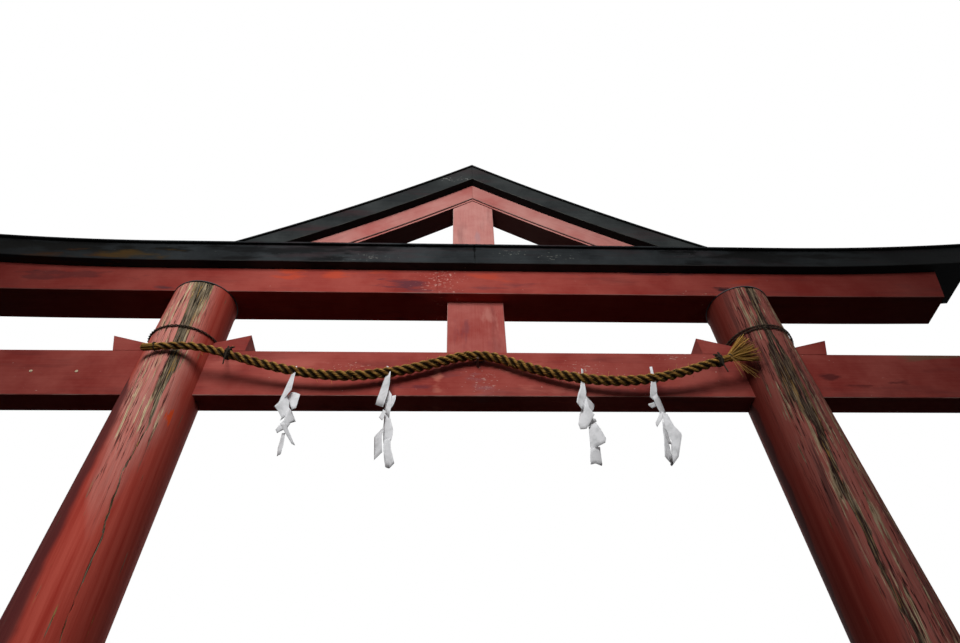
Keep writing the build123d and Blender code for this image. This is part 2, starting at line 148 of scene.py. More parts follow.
floor_corners = [(-22, -25, 0), (25, -25, 0), (25, 25, 0), (-22, 25, 0)]
floor_mesh = bpy.data.meshes.new("floor")
floor_mesh.from_pydata(floor_corners, [], [(0, 1, 2, 3)])
floor = bring_in("floor", floor_mesh)
ground, tree = start_finish("pale floor that gives back little light")
rays = add(tree, "ShaderNodeLightPath").outputs
pale = add(tree, "ShaderNodeBsdfDiffuse", {"Color": srgb("E9E9E7")})
dull = add(tree, "ShaderNodeBsdfDiffuse", {"Color": srgb("201F1D")})
mixed = add(tree, "ShaderNodeMixShader", {0: rays["Is Diffuse Ray"], 1: pale, 2: dull})
glow = add(tree, "ShaderNodeMath", {0: rays["Is Camera Ray"], 1: 0.42}, operation="MULTIPLY")
glow = add(tree, "ShaderNodeEmission", {"Color": srgb("FFFFFF"), "Strength": glow})
add(tree, "ShaderNodeOutputMaterial", {0: add(tree, "ShaderNodeAddShader", {0: mixed, 1: glow})})
floor_mesh.materials.append(ground)

# Posts. Two cypress logs, turned to a taper, mortised for the tie beam and its wedges, and
# painted with red iron oxide. Long years of rain have split them along the grain, lifted the
# paint in streaks, and left one bare band down each front to turn silver and black.
post_lean = math.tan(math.radians(1.55))
post_reach = 1.365  # from the gate's middle to a post's axis, at the tie beam's underside
foot_radius = 0.167
head_radius = 0.154
post_height = 4.190
streak_stretch = (74, 74, 3.6)  # streaks 14 mm apart and 280 mm long
crack_stretch = (46, 46, 1.1)  # drying cracks 22 mm apart and 900 mm long


def grain_pattern(tree, place, stretch, detail):
    """Noise drawn out along the grain: stretch is how many of its patches go to a metre."""
    drawn_out = add(tree, "ShaderNodeVectorMath", {0: place, 1: stretch}, operation="MULTIPLY")
    return add(tree, "ShaderNodeTexNoise",
               {0: drawn_out, "Scale": 1.0, "Detail": detail, "Roughness": 0.62})


def end_finish(tree, colour, roughness, shine=0.5, bump=None):
    """Ends a material: its colour, how matt it is, how much it shines, and any bump."""
    look = {"Base Color": colour, "Roughness": roughness, "Specular IOR Level": shine}
    if bump:
        look["Normal"] = bump
    add(tree, "ShaderNodeOutputMaterial", {0: add(tree, "ShaderNodeBsdfPrincipled", look)})


# Red iron oxide on a split log: matt and chalky, rose where it has faded, with the wood bare in
# cream lines about 6 mm wide and brown between them, and drying cracks. Growth rings are drawn
# 3 mm apart: the real ones are finer than the picture shows.
log_paint, tree = start_finish("iron oxide paint on a weathered cypress log")
grain = add(tree, "ShaderNodeAttribute", attribute_name="grain").outputs["Vector"]
noise = {}
for field, stretch, detail in (
    ("streak", streak_stretch, 6.0),
    ("crack", crack_stretch, 3.0),
    ("cloud", (40, 40, 1.3), 4.0),  # paint fades in runs 25 mm by 770 mm
    ("rot", (34, 34, 1.5), 6.0),  # damp stains, 30 mm by 670 mm
    ("fibre", (300, 300, 9), 4.0),  # growth rings, in runs of 110 mm
):
    noise[field] = grain_pattern(tree, grain, stretch, detail)
mask = {}
for field in ("band", "worn", "edge_shade", "inner_shade"):
    mask[field] = add(tree, "ShaderNodeAttribute", attribute_name=field).outputs["Fac"]
place = add(tree, "ShaderNodeTexCoord").outputs["Object"]
across = add(tree, "ShaderNodeSeparateXYZ", {0: place})
rightward = add(tree, "ShaderNodeMapRange", {0: across, 1: gate_middle - 1.0, 2: gate_middle + 1.0})

# Where it is worn, the paint has turned to chalk, more so on the left post, and damp has browned
# the wood, more so on the right one.
faded = add(tree, "ShaderNodeMapRange", {0: noise["cloud"], 1: 0.34, 2: 0.66})
chalky = add(tree, "ShaderNodeMapRange", {0: noise["fibre"], 1: 0.36, 2: 0.62, 3: 0.45, 4: 0.95})
chalky = add(tree, "ShaderNodeMath", {0: chalky, 1: mask["worn"]}, operation="MULTIPLY", use_clamp=True)
less = add(tree, "ShaderNodeMath", {0: rightward, 1: -0.35, 2: 1.0}, operation="MULTIPLY_ADD")
chalky = add(tree, "ShaderNodeMath", {0: chalky, 1: less}, operation="MULTIPLY")
brown = add(tree, "ShaderNodeMapRange", {0: noise["rot"], 1: 0.49, 2: 0.59, 3: 0.0, 4: 0.8})
brown = add(tree, "ShaderNodeMath", {0: brown, 1: mask["worn"]}, operation="MULTIPLY", use_clamp=True)
more = add(tree, "ShaderNodeMath", {0: rightward, 1: 0.6, 2: 0.4}, operation="MULTIPLY_ADD")
brown = add(tree, "ShaderNodeMath", {0: brown, 1: more}, operation="MULTIPLY")

# The bare band has ragged edges. Its wood is black, silvered along the fibres, more so on the
# left post, with a few ochre lines.
ragged = add(tree, "ShaderNodeMath", {0: noise["streak"], 1: 3.4, 2: -1.75}, operation="MULTIPLY_ADD")
in_band = add(tree, "ShaderNodeMath", {0: mask["band"], 1: ragged})
in_band = add(tree, "ShaderNodeMapRange", {0: in_band, 1: 0.42, 2: 0.58})
silvered = add(tree, "ShaderNodeMath", {0: rightward, 1: -0.07, 2: 0.07}, operation="MULTIPLY_ADD")
silvered = add(tree, "ShaderNodeMath", {0: silvered, 1: noise["fibre"]})
silvered = add(tree, "ShaderNodeMapRange", {0: silvered, 1: 0.46, 2: 0.63})
ochre = add(tree, "ShaderNodeMath", {0: noise["crack"], 1: 0.560, 2: 0.009}, operation="COMPARE")

# Paint has lifted off in streaks where the post is worn, less so in the band, and the wood there
# is brown to cream. The wood has also split along fine lines.
lifted = add(tree, "ShaderNodeMath", {0: mask["worn"], 1: 0.28, 2: -0.28}, operation="MULTIPLY_ADD")
lifted = add(tree, "ShaderNodeMath", {0: lifted, 1: noise["streak"]})
bare = add(tree, "ShaderNodeMapRange", {0: lifted, 1: 0.54, 2: 0.58})
off_band = add(tree, "ShaderNodeMath", {0: in_band, 1: -0.55, 2: 1.0}, operation="MULTIPLY_ADD")
bare = add(tree, "ShaderNodeMath", {0: bare, 1: off_band}, operation="MULTIPLY")
cream = add(tree, "ShaderNodeMapRange", {0: noise["fibre"], 1: 0.38, 2: 0.60})
split = add(tree, "ShaderNodeMath", {0: noise["crack"], 1: 0.5}, operation="SUBTRACT")
split = add(tree, "ShaderNodeMath", {0: split}, operation="ABSOLUTE")
split = add(tree, "ShaderNodeMapRange", {0: split, 1: 0.006, 2: 0.016, 3: 0.95, 4: 0.0})
split = add(tree, "ShaderNodeMath", {0: split, 1: mask["worn"]}, operation="MULTIPLY", use_clamp=True)
# A purplish strip of painted shade runs down each post's left edge, where the log turns from the light.
edge_shaded = add(tree, "ShaderNodeMath", {0: mask["edge_shade"], 1: 0.75}, operation="MULTIPLY")

# One ragged spot on the left post, below the tie beam, shows orange primer, 23 mm by 78 mm.
primer_turn = math.radians(-41)  # round the post, from its right side
primer_reach = 0.160
primer_drop = 0.170
primer_place = gate + Vector((
    primer_reach * math.cos(primer_turn) - post_reach - post_lean * primer_drop,
    primer_reach * math.sin(primer_turn),
    -primer_drop,
))
off = add(tree, "ShaderNodeVectorMath", {0: place, 1: tuple(primer_place)}, operation="SUBTRACT")
off = add(tree, "ShaderNodeVectorMath", {0: off, 1: (62, 62, 18)}, operation="MULTIPLY")
off = add(tree, "ShaderNodeVectorMath", {0: off}, operation="LENGTH").outputs["Value"]
primer = add(tree, "ShaderNodeMath", {0: noise["streak"], 1: 3.4, 2: -1.0}, operation="MULTIPLY_ADD")
primer = add(tree, "ShaderNodeMath", {0: off, 1: primer}, operation="LESS_THAN")
shaded = add(tree, "ShaderNodeMapRange",
             {0: across, 1: gate_middle + 0.6, 2: gate_middle + 1.5, 3: 0.0, 4: 0.64})
black_wood = srgb("1D1815")
for where, colour in ((silvered, "857863"), (ochre, "A98448")):
    black_wood = add(tree, "ShaderNodeMix", {0: where, 6: black_wood, 7: srgb(colour)},
                     data_type="RGBA").outputs[2]
wood = add(tree, "ShaderNodeMix", {0: cream, 6: srgb("93755A"), 7: srgb("E4CEA8")},
           data_type="RGBA").outputs[2]
surface = srgb("A8392E")
for where, colour in (
    (faded, srgb("C25547")),
    (chalky, srgb("D09084")),
    (brown, srgb("60403C")),
    (in_band, black_wood),
    (bare, wood),
    (split, srgb("1C1210")),
    # Painted shade: the purplish strip down each post's left edge.
    (edge_shaded, srgb("36272B")),
    (primer, srgb("E0522A")),
    # Painted shade: the right post darker towards its right, and each post's inner side darker.
    (shaded, srgb("2A1312")),
    (mask["inner_shade"], srgb("1E0705")),
):
    surface = add(tree, "ShaderNodeMix", {0: where, 6: surface, 7: colour}, data_type="RGBA").outputs[2]
bump = add(tree, "ShaderNodeBump", {"Height": noise["fibre"], "Distance": 0.0015, "Strength": 0.5})
end_finish(tree, surface, roughness=0.85, shine=0.05, bump=bump)


def new_tree(name, **sizes):
    """A geometry tree with one named input for each size; a tuple is a vector."""
    tree = bpy.data.node_groups.new(name, "GeometryNodeTree")
    tree.interface.new_socket(name="Geometry", in_out="INPUT", socket_type="NodeSocketGeometry")
    for size, value in sizes.items():
        kind = {int: "NodeSocketInt", float: "NodeSocketFloat", tuple: "NodeSocketVector"}[type(value)]
        socket = tree.interface.new_socket(name=size.replace("_", " "), in_out="INPUT", socket_type=kind)
        socket.default_value = value
    tree.interface.new_socket(name="Geometry", in_out="OUTPUT", socket_type="NodeSocketGeometry")
    return tree, add(tree, "NodeGroupInput").outputs


def finish_tree(tree, mesh, material):
    """Ends a tree: real geometry in place of instances, and the material on it."""
    real = add(tree, "GeometryNodeRealizeInstances", {0: mesh})
    painted = add(tree, "GeometryNodeSetMaterial", {0: real, "Material": material})
    add(tree, "NodeGroupOutput", {0: painted})


def grow(tree, name, start=None, **sizes):
    """Runs a tree on a mesh with these sizes, and gives its result as a plain mesh object."""
    piece = bring_in(name, start or bpy.data.meshes.new(name))
    modifier = piece.modifiers.new("grown", "NODES")
    modifier.node_group = tree
    for item in tree.interface.items_tree:
        if item.in_out == "INPUT" and item.name.replace(" ", "_") in sizes:
            modifier[item.identifier] = sizes[item.name.replace(" ", "_")]
    grown = piece.evaluated_get(bpy.context.evaluated_depsgraph_get())
    plain_mesh = bpy.data.meshes.new_from_object(grown)
    piece.modifiers.clear()
    piece.data = plain_mesh
    return piece


def set_curve(node, points):
    """Draws a Float Curve node's line straight between points from 0 to 1."""
    line = node.mapping.curves[0]
    line.points[0].location = points[0]
    line.points[1].location = points[-1]
    for point in points[1:-1]:
        line.points.new(*point)
    for point in line.points:
        point.handle_type = "VECTOR"
    node.mapping.update()


grain_radius = 0.16  # about a post's own, so that the grain field is in metres


def make_post(name, side, twist, inner_shade, zones):
    """A log: side is -1 for the left post. Its grain turns by twist degrees a metre, and the
    next number is how far painted shade darkens its inner side, which faces into the gate and
    gets less light. Each zone has its middle, in degrees round the post from the right, its blur,
    the half width at which it is at full strength, and points of level (0 foot, 1 head) and half
    width; these widths are shares of 90 degrees."""
    tree, size = new_tree("weathered log", Foot_Radius=foot_radius, Head_Radius=head_radius,
                          Height=post_height, Lean=-side * post_lean, Twist=math.radians(twist),
                          Sides=330, Rows=270, Split_Depth=0.004)
    # The grain field follows the log's surface, turned round it by the twist.
    log = add(tree, "GeometryNodeMeshCylinder",
              {"Vertices": size["Sides"], "Side Segments": size["Rows"], "Depth": 1.0})
    position = add(tree, "GeometryNodeInputPosition")
    place = add(tree, "ShaderNodeSeparateXYZ", {0: position})
    share = add(tree, "ShaderNodeMath", {0: place.outputs["Z"], 1: 0.5})
    level = add(tree, "ShaderNodeMath", {0: share, 1: size["Height"]}, operation="MULTIPLY")
    angle = add(tree, "ShaderNodeMath", {0: place.outputs["Y"], 1: place.outputs["X"]}, operation="ARCTAN2")
    over_beam = add(tree, "ShaderNodeMath", {0: level, 1: beam_level}, operation="SUBTRACT")
    turned = add(tree, "ShaderNodeMath", {0: over_beam, 1: size["Twist"], 2: angle}, operation="MULTIPLY_ADD")
    across = add(tree, "ShaderNodeMath", {0: turned}, operation="COSINE")
    deep = add(tree, "ShaderNodeMath", {0: turned}, operation="SINE")
    grain = add(tree, "ShaderNodeCombineXYZ", {0: across, 1: deep})
    grain = add(tree, "ShaderNodeVectorMath", {0: grain, "Scale": grain_radius}, operation="SCALE")
    upward = add(tree, "ShaderNodeCombineXYZ", {2: level})
    grain = add(tree, "ShaderNodeVectorMath", {0: grain, 1: upward})
    # Each zone's sides wander with the grain, in bends of 250 mm, by up to a quarter of a radian.
    wander = add(tree, "ShaderNodeTexNoise", {0: grain, "Scale": 4.0, "Detail": 4.0})
    wander = add(tree, "ShaderNodeMath", {0: wander, 1: 0.5, 2: -0.25}, operation="MULTIPLY_ADD")
    wandering = add(tree, "ShaderNodeMath", {0: turned, 1: wander})
    masks = {}
    for zone, (middle, blur, full_width, widths) in zones.items():
        off = add(tree, "ShaderNodeMath", {0: wandering, 1: math.radians(middle)}, operation="SUBTRACT")
        off = add(tree, "ShaderNodeMath", {0: off, 1: math.pi, 2: -math.pi}, operation="WRAP")
        off = add(tree, "ShaderNodeMath", {0: off}, operation="ABSOLUTE")
        width = add(tree, "ShaderNodeFloatCurve", {"Value": share})
        set_curve(width, widths)
        strength = add(tree, "ShaderNodeMapRange", {0: width, 1: 0.0, 2: full_width})
        width = add(tree, "ShaderNodeMath", {0: width, 1: math.pi / 2, 2: 0.001}, operation="MULTIPLY_ADD")
        off = add(tree, "ShaderNodeMath", {0: off, 1: width}, operation="DIVIDE")
        mask = add(tree, "ShaderNodeMapRange", {0: off, 1: 1 - blur, 2: 1 + blur, 3: 1.0, 4: 0.0},
                   interpolation_type="SMOOTHSTEP")
        masks[zone] = add(tree, "ShaderNodeMath", {0: mask, 1: strength}, operation="MULTIPLY")
    # Painted shade: the side that faces into the gate is darkened, as it gets less light.
    inward = add(tree, "ShaderNodeMath", {0: angle}, operation="COSINE")
    inward = add(tree, "ShaderNodeMath", {0: inward, 1: float(-side)}, operation="MULTIPLY")
    masks["inner_shade"] = add(tree, "ShaderNodeMapRange", {0: inward, 1: 0.2, 2: 1.0, 3: 0.0, 4: inner_shade})
    # The band is split up to 4 mm deep, and the worn part has cracked 3 mm deep. Where paint has
    # lifted off, the wood is 1.2 mm lower.
    streak = grain_pattern(tree, grain, streak_stretch, detail=6.0)
    crack = grain_pattern(tree, grain, crack_stretch, detail=3.0)
    crack = add(tree, "ShaderNodeMath", {0: crack, 1: 0.5}, operation="SUBTRACT")
    crack = add(tree, "ShaderNodeMath", {0: crack}, operation="ABSOLUTE")
    crack = add(tree, "ShaderNodeMapRange", {0: crack, 1: 0.006, 2: 0.020, 3: 0.003, 4: 0.0})
    shallow = add(tree, "ShaderNodeMapRange", {0: streak, 1: 0.50, 2: 0.66, 3: 0.0, 4: 0.0012})
    shallow = add(tree, "ShaderNodeMath", {0: shallow, 1: crack})
    shallow = add(tree, "ShaderNodeMath", {0: shallow, 1: masks["worn"]}, operation="MULTIPLY")
    splits = add(tree, "ShaderNodeMapRange", {0: streak, 1: 0.35, 2: 0.62, 3: 0.2, 4: 1.0})
    splits = add(tree, "ShaderNodeMath", {0: splits, 1: size["Split Depth"]}, operation="MULTIPLY")
    splits = add(tree, "ShaderNodeMath", {0: splits, 1: masks["band"], 2: shallow}, operation="MULTIPLY_ADD")
    # The plain cylinder takes the log's taper, splits and lean.
    radius = add(tree, "ShaderNodeMapRange", {0: share, 3: size["Foot Radius"], 4: size["Head Radius"]})
    radius = add(tree, "ShaderNodeMath", {0: radius, 1: splits}, operation="SUBTRACT")
    radial = add(tree, "ShaderNodeVectorMath", {0: position, "Scale": radius}, operation="SCALE")
    flat = add(tree, "ShaderNodeVectorMath", {0: radial, 1: (1, 1, 0)}, operation="MULTIPLY")
    leaning = add(tree, "ShaderNodeMath", {0: level, 1: size["Lean"]}, operation="MULTIPLY")
    axis = add(tree, "ShaderNodeCombineXYZ", {0: leaning, 2: level})
    final = add(tree, "ShaderNodeVectorMath", {0: flat, 1: axis})
    log = add(tree, "GeometryNodeStoreNamedAttribute", {0: log, "Name": "grain", "Value": grain},
              data_type="FLOAT_VECTOR")
    for zone, field in masks.items():
        log = add(tree, "GeometryNodeStoreNamedAttribute", {0: log, "Name": zone, "Value": field},
                  data_type="FLOAT")
    shaped = add(tree, "GeometryNodeSetPosition", {0: log, "Position": final})
    finish_tree(tree, shaped, log_paint)
    post = grow(tree, name)
    foot = gate_middle + side * (post_reach + post_lean * beam_level)
    post.data.transform(Matrix.Translation((foot, 0, 0)))
    return post


for name, side, twist, inner_shade, zones in (
    ("left_post", -1, 14.5, 0.46, {
        "band": (-69, 0.6, 0.005, [
            (0, 0.006), (0.77, 0.008), (0.79, 0.02), (0.82, 0.045), (0.845, 0.10), (0.87, 0.125),
            (0.93, 0.09), (1, 0.20),
        ]),
        "worn": (-84, 0.45, 0.38, [
            (0, 0.0), (0.66, 0.0), (0.71, 0.20), (0.79, 0.36), (0.84, 0.43), (1, 0.44),
        ]),
        # A strip of painted shade down the post's left edge.
        "edge_shade": (-140, 0.30, 0.01, [(0, 0.26), (0.83, 0.25), (0.86, 0.0), (1, 0.0)]),
    }),
    ("right_post", 1, -15.0, 0.72, {
        "band": (-94, 0.6, 0.005, [
            (0, 0.012), (0.60, 0.03), (0.74, 0.06), (0.79, 0.09), (0.82, 0.16), (0.86, 0.21),
            (0.89, 0.20), (0.92, 0.09), (1, 0.10),
        ]),
        "worn": (-54, 0.25, 0.5, [
            (0, 0.56), (0.58, 0.60), (0.64, 0.66), (0.70, 0.80), (0.76, 0.94), (0.85, 0.95), (1, 1.0),
        ]),
        # A strip of painted shade down the post's left edge.
        "edge_shade": (-178, 0.30, 0.01, [(0, 0.10), (0.83, 0.10), (0.86, 0.0), (1, 0.0)]),
    }),
):
    post = make_post(name + "_log", side, twist, inner_shade, zones)
    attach(post, "root")
    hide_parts(name)


# Post caps. Thin dark sheet metal, cut round and dished over each post's end grain to keep the
# rain out of it; its turned-down edge shows as a line under the lower lintel.
def coat(finish, *names):
    """Puts a finish on pieces that keep their own shape."""
    for name in names:
        for slot in nodes[name].material_slots:
            slot.material = finish


cap_sheet, tree = start_finish("dark painted sheet metal")
end_finish(tree, srgb("17171A"), roughness=0.5)
coat(cap_sheet, "left_post_cap", "right_post_cap")


# Tie beam and wedges. A planed cypress plank on edge goes right through both posts, and four
# wedges driven in over it lock the joints. The red paint was brushed on by hand: faintly
# ribbed by the grain, blotched where it has faded, rubbed off along the lower edges.
# A mark starts at far and is full at full, as shares of its half sizes, where its strength is low
# and high. Noise breaks it up, more so where wild is more, and soft is how its edges blur.
mark_kinds = {
    "smear": {"far": 1.7, "full": 0.1, "low": -0.34, "high": 0.16, "wild": 1.6, "soft": 0.18},
    "flake": {"far": 1.4, "full": 0.3, "low": -0.25, "high": -0.09, "wild": 1.0, "soft": 0.06},
}


def paint_timber(name, fresh, faded, worn, marks=(), turn=0.0, upright=False,
                 gloom=0.0, deep="2A0F0E", under=0.0):
    """Painted timber whose grain runs along X, turned by turn degrees about Y, or upright. A mark
    is a ragged patch: a smear or flakes, its colour and strength, its middle across and up from
    the gate's middle and beam level, and its half sizes. gloom is painted shade that darkens both
    ends towards deep, and under is painted shade that darkens the undersides."""
    material, tree = start_finish(name)
    place = add(tree, "ShaderNodeTexCoord").outputs["Object"]
    centred = add(tree, "ShaderNodeVectorMath", {0: place, 1: tuple(gate)}, operation="SUBTRACT")
    turned = add(tree, "ShaderNodeMapping", {0: centred, "Rotation": (0, math.radians(turn), 0)})
    # The paint has faded in clouds of 300 mm.
    cloud = add(tree, "ShaderNodeTexNoise", {0: turned, "Scale": 3.2, "Detail": 5.0, "Roughness": 0.6})
    noise = {}
    for field, along, fine, detail in (
        ("rib", 5, 130, 4.0),  # ribs of late wood 8 mm apart, in runs of 200 mm
        ("smear", 4, 16, 7.0),  # patches of 250 mm by 60 mm
        ("flake", 52, 120, 2.0),  # flakes of 19 mm by 8 mm
        ("dirt", 1.6, 10, 7.0),  # runs of dirt, 600 mm by 100 mm
    ):
        stretch = (fine, fine, along) if upright else (along, fine, fine)
        noise[field] = grain_pattern(tree, turned, stretch, detail)
    blotch = add(tree, "ShaderNodeMath", {0: noise["rib"], 1: 0.22, 2: cloud}, operation="MULTIPLY_ADD")
    faded_here = add(tree, "ShaderNodeMapRange", {0: blotch, 1: 0.44, 2: 0.76})
    dirty = add(tree, "ShaderNodeMapRange", {0: noise["dirt"], 1: 0.53, 2: 0.74, 3: 0.0, 4: 0.5})
    layers = [(faded_here, faded), (dirty, "45282B")]
    for kind, colour, most, across, up, half_wide, half_high in marks:
        way = mark_kinds[kind]
        off = add(tree, "ShaderNodeVectorMath", {0: centred, 1: (across, 0, up)}, operation="SUBTRACT")
        off = add(tree, "ShaderNodeVectorMath", {0: off, 1: (1 / half_wide, 0, 1 / half_high)},
                  operation="MULTIPLY")
        off = add(tree, "ShaderNodeVectorMath", {0: off}, operation="LENGTH").outputs["Value"]
        near = add(tree, "ShaderNodeMapRange",
                   {0: off, 1: way["far"], 2: way["full"], 3: way["low"], 4: way["high"]})
        ragged = add(tree, "ShaderNodeMath", {0: noise[kind], 1: way["wild"], 2: 0.5 - 0.5 * way["wild"]},
                     operation="MULTIPLY_ADD")
        here = add(tree, "ShaderNodeMath", {0: near, 1: ragged})
        here = add(tree, "ShaderNodeMapRange", {0: here, 1: 0.50, 2: 0.50 + way["soft"], 3: 0.0, 4: most})
        layers.append((here, colour))
    outward = add(tree, "ShaderNodeNewGeometry").outputs["True Normal"]
    facing = add(tree, "ShaderNodeVectorMath", {0: outward}, operation="ABSOLUTE")
    facing = add(tree, "ShaderNodeSeparateXYZ", {0: facing})
    # The chamfered edges, which face half forwards, are rubbed down to a paler coat.
    edge = add(tree, "ShaderNodeMath", {0: facing.outputs["Y"], 1: 0.707, 2: 0.12}, operation="COMPARE")
    if not upright:
        level_edge = add(tree, "ShaderNodeMath", {0: facing.outputs["Z"], 1: 0.4}, operation="GREATER_THAN")
        edge = add(tree, "ShaderNodeMath", {0: edge, 1: level_edge}, operation="MULTIPLY")
    rubbed = add(tree, "ShaderNodeMapRange", {0: noise["smear"], 1: 0.38, 2: 0.62, 3: 0.15, 4: 0.85})
    edge = add(tree, "ShaderNodeMath", {0: edge, 1: rubbed}, operation="MULTIPLY")
    # Less sky reaches the gate's two ends, and hardly any its undersides.
    side = add(tree, "ShaderNodeSeparateXYZ", {0: centred})
    shaded = add(tree, "ShaderNodeMapRange", {0: side, 1: 0.3, 2: 2.3, 3: 0.0, 4: gloom})
    shaded_left = add(tree, "ShaderNodeMapRange", {0: side, 1: -0.9, 2: -2.5, 3: 0.0, 4: gloom})
    shaded = add(tree, "ShaderNodeMath", {0: shaded, 1: shaded_left})
    downward = add(tree, "ShaderNodeSeparateXYZ", {0: outward}).outputs["Z"]
    underneath = add(tree, "ShaderNodeMapRange", {0: downward, 1: -0.5, 2: -0.7, 3: 0.0, 4: under})
    shaded = add(tree, "ShaderNodeMath", {0: shaded, 1: underneath}, operation="MAXIMUM")
    surface = srgb(fresh)
    for where, colour in (*layers, (edge, worn), (shaded, deep)):
        surface = add(tree, "ShaderNodeMix", {0: where, 6: surface, 7: srgb(colour)},
                      data_type="RGBA").outputs[2]
    bump = add(tree, "ShaderNodeBump", {"Height": noise["rib"], "Distance": 0.0015, "Strength": 0.25})
    end_finish(tree, surface, roughness=0.8, shine=0.06, bump=bump)
    return material


beam_marks = (
    ("smear", "6E3A3E", 0.50, -0.12, 0.17, 0.20, 0.10),
    # A dark patch round the nail, under the rope, is painted shadow of the rope and the nail.
    ("smear", "1C0D0C", 0.90, 0.008, 0.212, 0.050, 0.032),
    ("smear", "BE6A5C", 0.60, 0.26, 0.15, 0.24, 0.12),
    ("smear", "C0705F", 0.80, -0.18, 0.13, 0.030, 0.15),
    ("smear", "5E2D36", 0.65, -0.33, 0.06, 0.18, 0.06),
    ("smear", "8C5C60", 0.60, 0.00, 0.09, 0.13, 0.09),
    ("smear", "4A1C1E", 0.75, 1.60, 0.115, 0.06, 0.05),
    ("smear", "4A1C1E", 0.75, 1.86, 0.10, 0.14, 0.05),
    ("smear", "3E1619", 0.60, 1.72, 0.07, 0.20, 0.02),
    ("smear", "6B6A50", 0.55, 2.10, 0.255, 0.22, 0.025),
    ("smear", "5A2A2E", 0.45, 0.80, 0.06, 0.40, 0.05),
    ("smear", "B8655A", 0.45, -0.85, 0.20, 0.30, 0.05),
    ("flake", "CDB2A4", 0.60, -0.547, 0.181, 0.09, 0.035),
    ("flake", "C2A79C", 0.45, 0.02, 0.10, 0.13, 0.10),
    ("flake", "CDB2A4", 0.60, 0.485, 0.170, 0.12, 0.055),
    ("flake", "CDB2A4", 0.50, 0.909, 0.245, 0.15, 0.030),
)
beam_paint = paint_timber("iron oxide paint on a planed beam", "8B332D", "A8544B", "C79C92",
                          marks=beam_marks, gloom=0.42)
coat(beam_paint, "left_outer_wedge", "left_inner_wedge", "right_inner_wedge", "right_outer_wedge")

# The plank runs on past both edges of the picture, so its two ends are drawn a little longer.
beam_end = 2.2  # only the ends lie beyond this, from the gate's middle
longer_by = 0.05
beam_mesh = nodes["tie_beam"].data.copy()
beam_mesh.transform(nodes["tie_beam"].matrix_world)
for vert in beam_mesh.vertices:
    if abs(vert.co.x - gate_middle) > beam_end:
        vert.co.x += math.copysign(longer_by, vert.co.x - gate_middle)
beam_mesh.materials.clear()
beam_mesh.materials.append(beam_paint)
beam = bring_in("tie_beam_plank", beam_mesh)
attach(beam, "root")
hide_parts("tie_beam")

# Tie beam pegs. Two whittled pins of pale hardwood, never painted, driven through the beam's
# left end and left a little proud. Their end grain shows as specks about 3 mm apart.
def speckled_finish(name, first, second, spots, detail, roughness, shine=0.5, low=0.0, high=1.0):
    """A finish of two colours in specks, with this many spots to a metre. The first colour is
    alone where the noise is under low, and the second where it is over high."""
    material, tree = start_finish(name)
    place = add(tree, "ShaderNodeTexCoord").outputs["Object"]
    specks = add(tree, "ShaderNodeTexNoise", {0: place, "Scale": spots, "Detail": detail})
    specks = add(tree, "ShaderNodeMapRange", {0: specks, 1: low, 2: high})
    tone = add(tree, "ShaderNodeMix", {0: specks, 6: srgb(first), 7: srgb(second)},
               data_type="RGBA").outputs[2]
    end_finish(tree, tone, roughness, shine)
    return material


peg_wood = speckled_finish("bare hardwood, cut across the grain", "8F7A5C", "E2D2B2",
                           spots=300.0, detail=3.0, roughness=0.75)
coat(peg_wood, "tie_beam_pegs")

# Centre strut. A short upright board, tenoned between the tie beam and the lower lintel; its
# paint has faded to rose and run in the rain.
strut_marks = (
    ("smear", "7A4248", 0.55, -0.07, 0.42, 0.06, 0.12),
    ("smear", "7F4A50", 0.45, 0.06, 0.33, 0.06, 0.10),
    ("smear", "C58479", 0.45, 0.07, 0.55, 0.06, 0.10),
)
strut_paint = paint_timber("iron oxide paint on an upright board", "963C36", "B4675F", "C79C92",
                           marks=strut_marks, upright=True)
coat(strut_paint, "centre_strut")

# Lower lintel. Two planed cypress beams, half lapped a little left of the middle, slant-cut at
# both ends and set on the posts' heads. Fresh red shows in some places through soot and
# purple bloom, and the paint has chipped round the joint.
lintel_marks = (
    ("smear", "C04A31", 0.75, -0.96, 0.81, 0.18, 0.05),
    ("smear", "C04A31", 0.70, -0.72, 0.78, 0.12, 0.07),
    ("smear", "C04A31", 0.70, -0.48, 0.82, 0.10, 0.03),
    ("smear", "BA4732", 0.65, 0.08, 0.78, 0.13, 0.05),
    ("smear", "B2422F", 0.60, 1.40, 0.78, 0.10, 0.06),
    ("smear", "5A3139", 0.85, -0.34, 0.73, 0.26, 0.09),
    ("smear", "6A3A3E", 0.50, 0.08, 0.70, 0.26, 0.04),
    ("smear", "55303A", 0.75, 0.42, 0.82, 0.14, 0.03),
    ("smear", "4E2A32", 0.75, 0.98, 0.83, 0.28, 0.03),
    ("smear", "BC675C", 0.60, -1.212, 0.715, 0.05, 0.05),
    ("smear", "32262A", 0.90, -1.285, 0.705, 0.070, 0.035),
    ("smear", "54363A", 0.80, -1.54, 0.675, 0.10, 0.025),
    ("smear", "2B1F23", 0.95, 1.265, 0.700, 0.085, 0.035),
    ("smear", "4A2A2E", 0.50, -1.95, 0.76, 0.35, 0.05),
    ("flake", "D6AA9D", 0.65, -0.167, 0.745, 0.14, 0.14),
    ("flake", "CDB79F", 0.60, 1.17, 0.665, 0.14, 0.015),
)
lintel_paint = paint_timber("iron oxide paint on a planed lintel", "8C2F29", "A34C43", "C08A80",
                            marks=lintel_marks, gloom=0.62)
coat(lintel_paint, "left_lower_lintel", "right_lower_lintel")

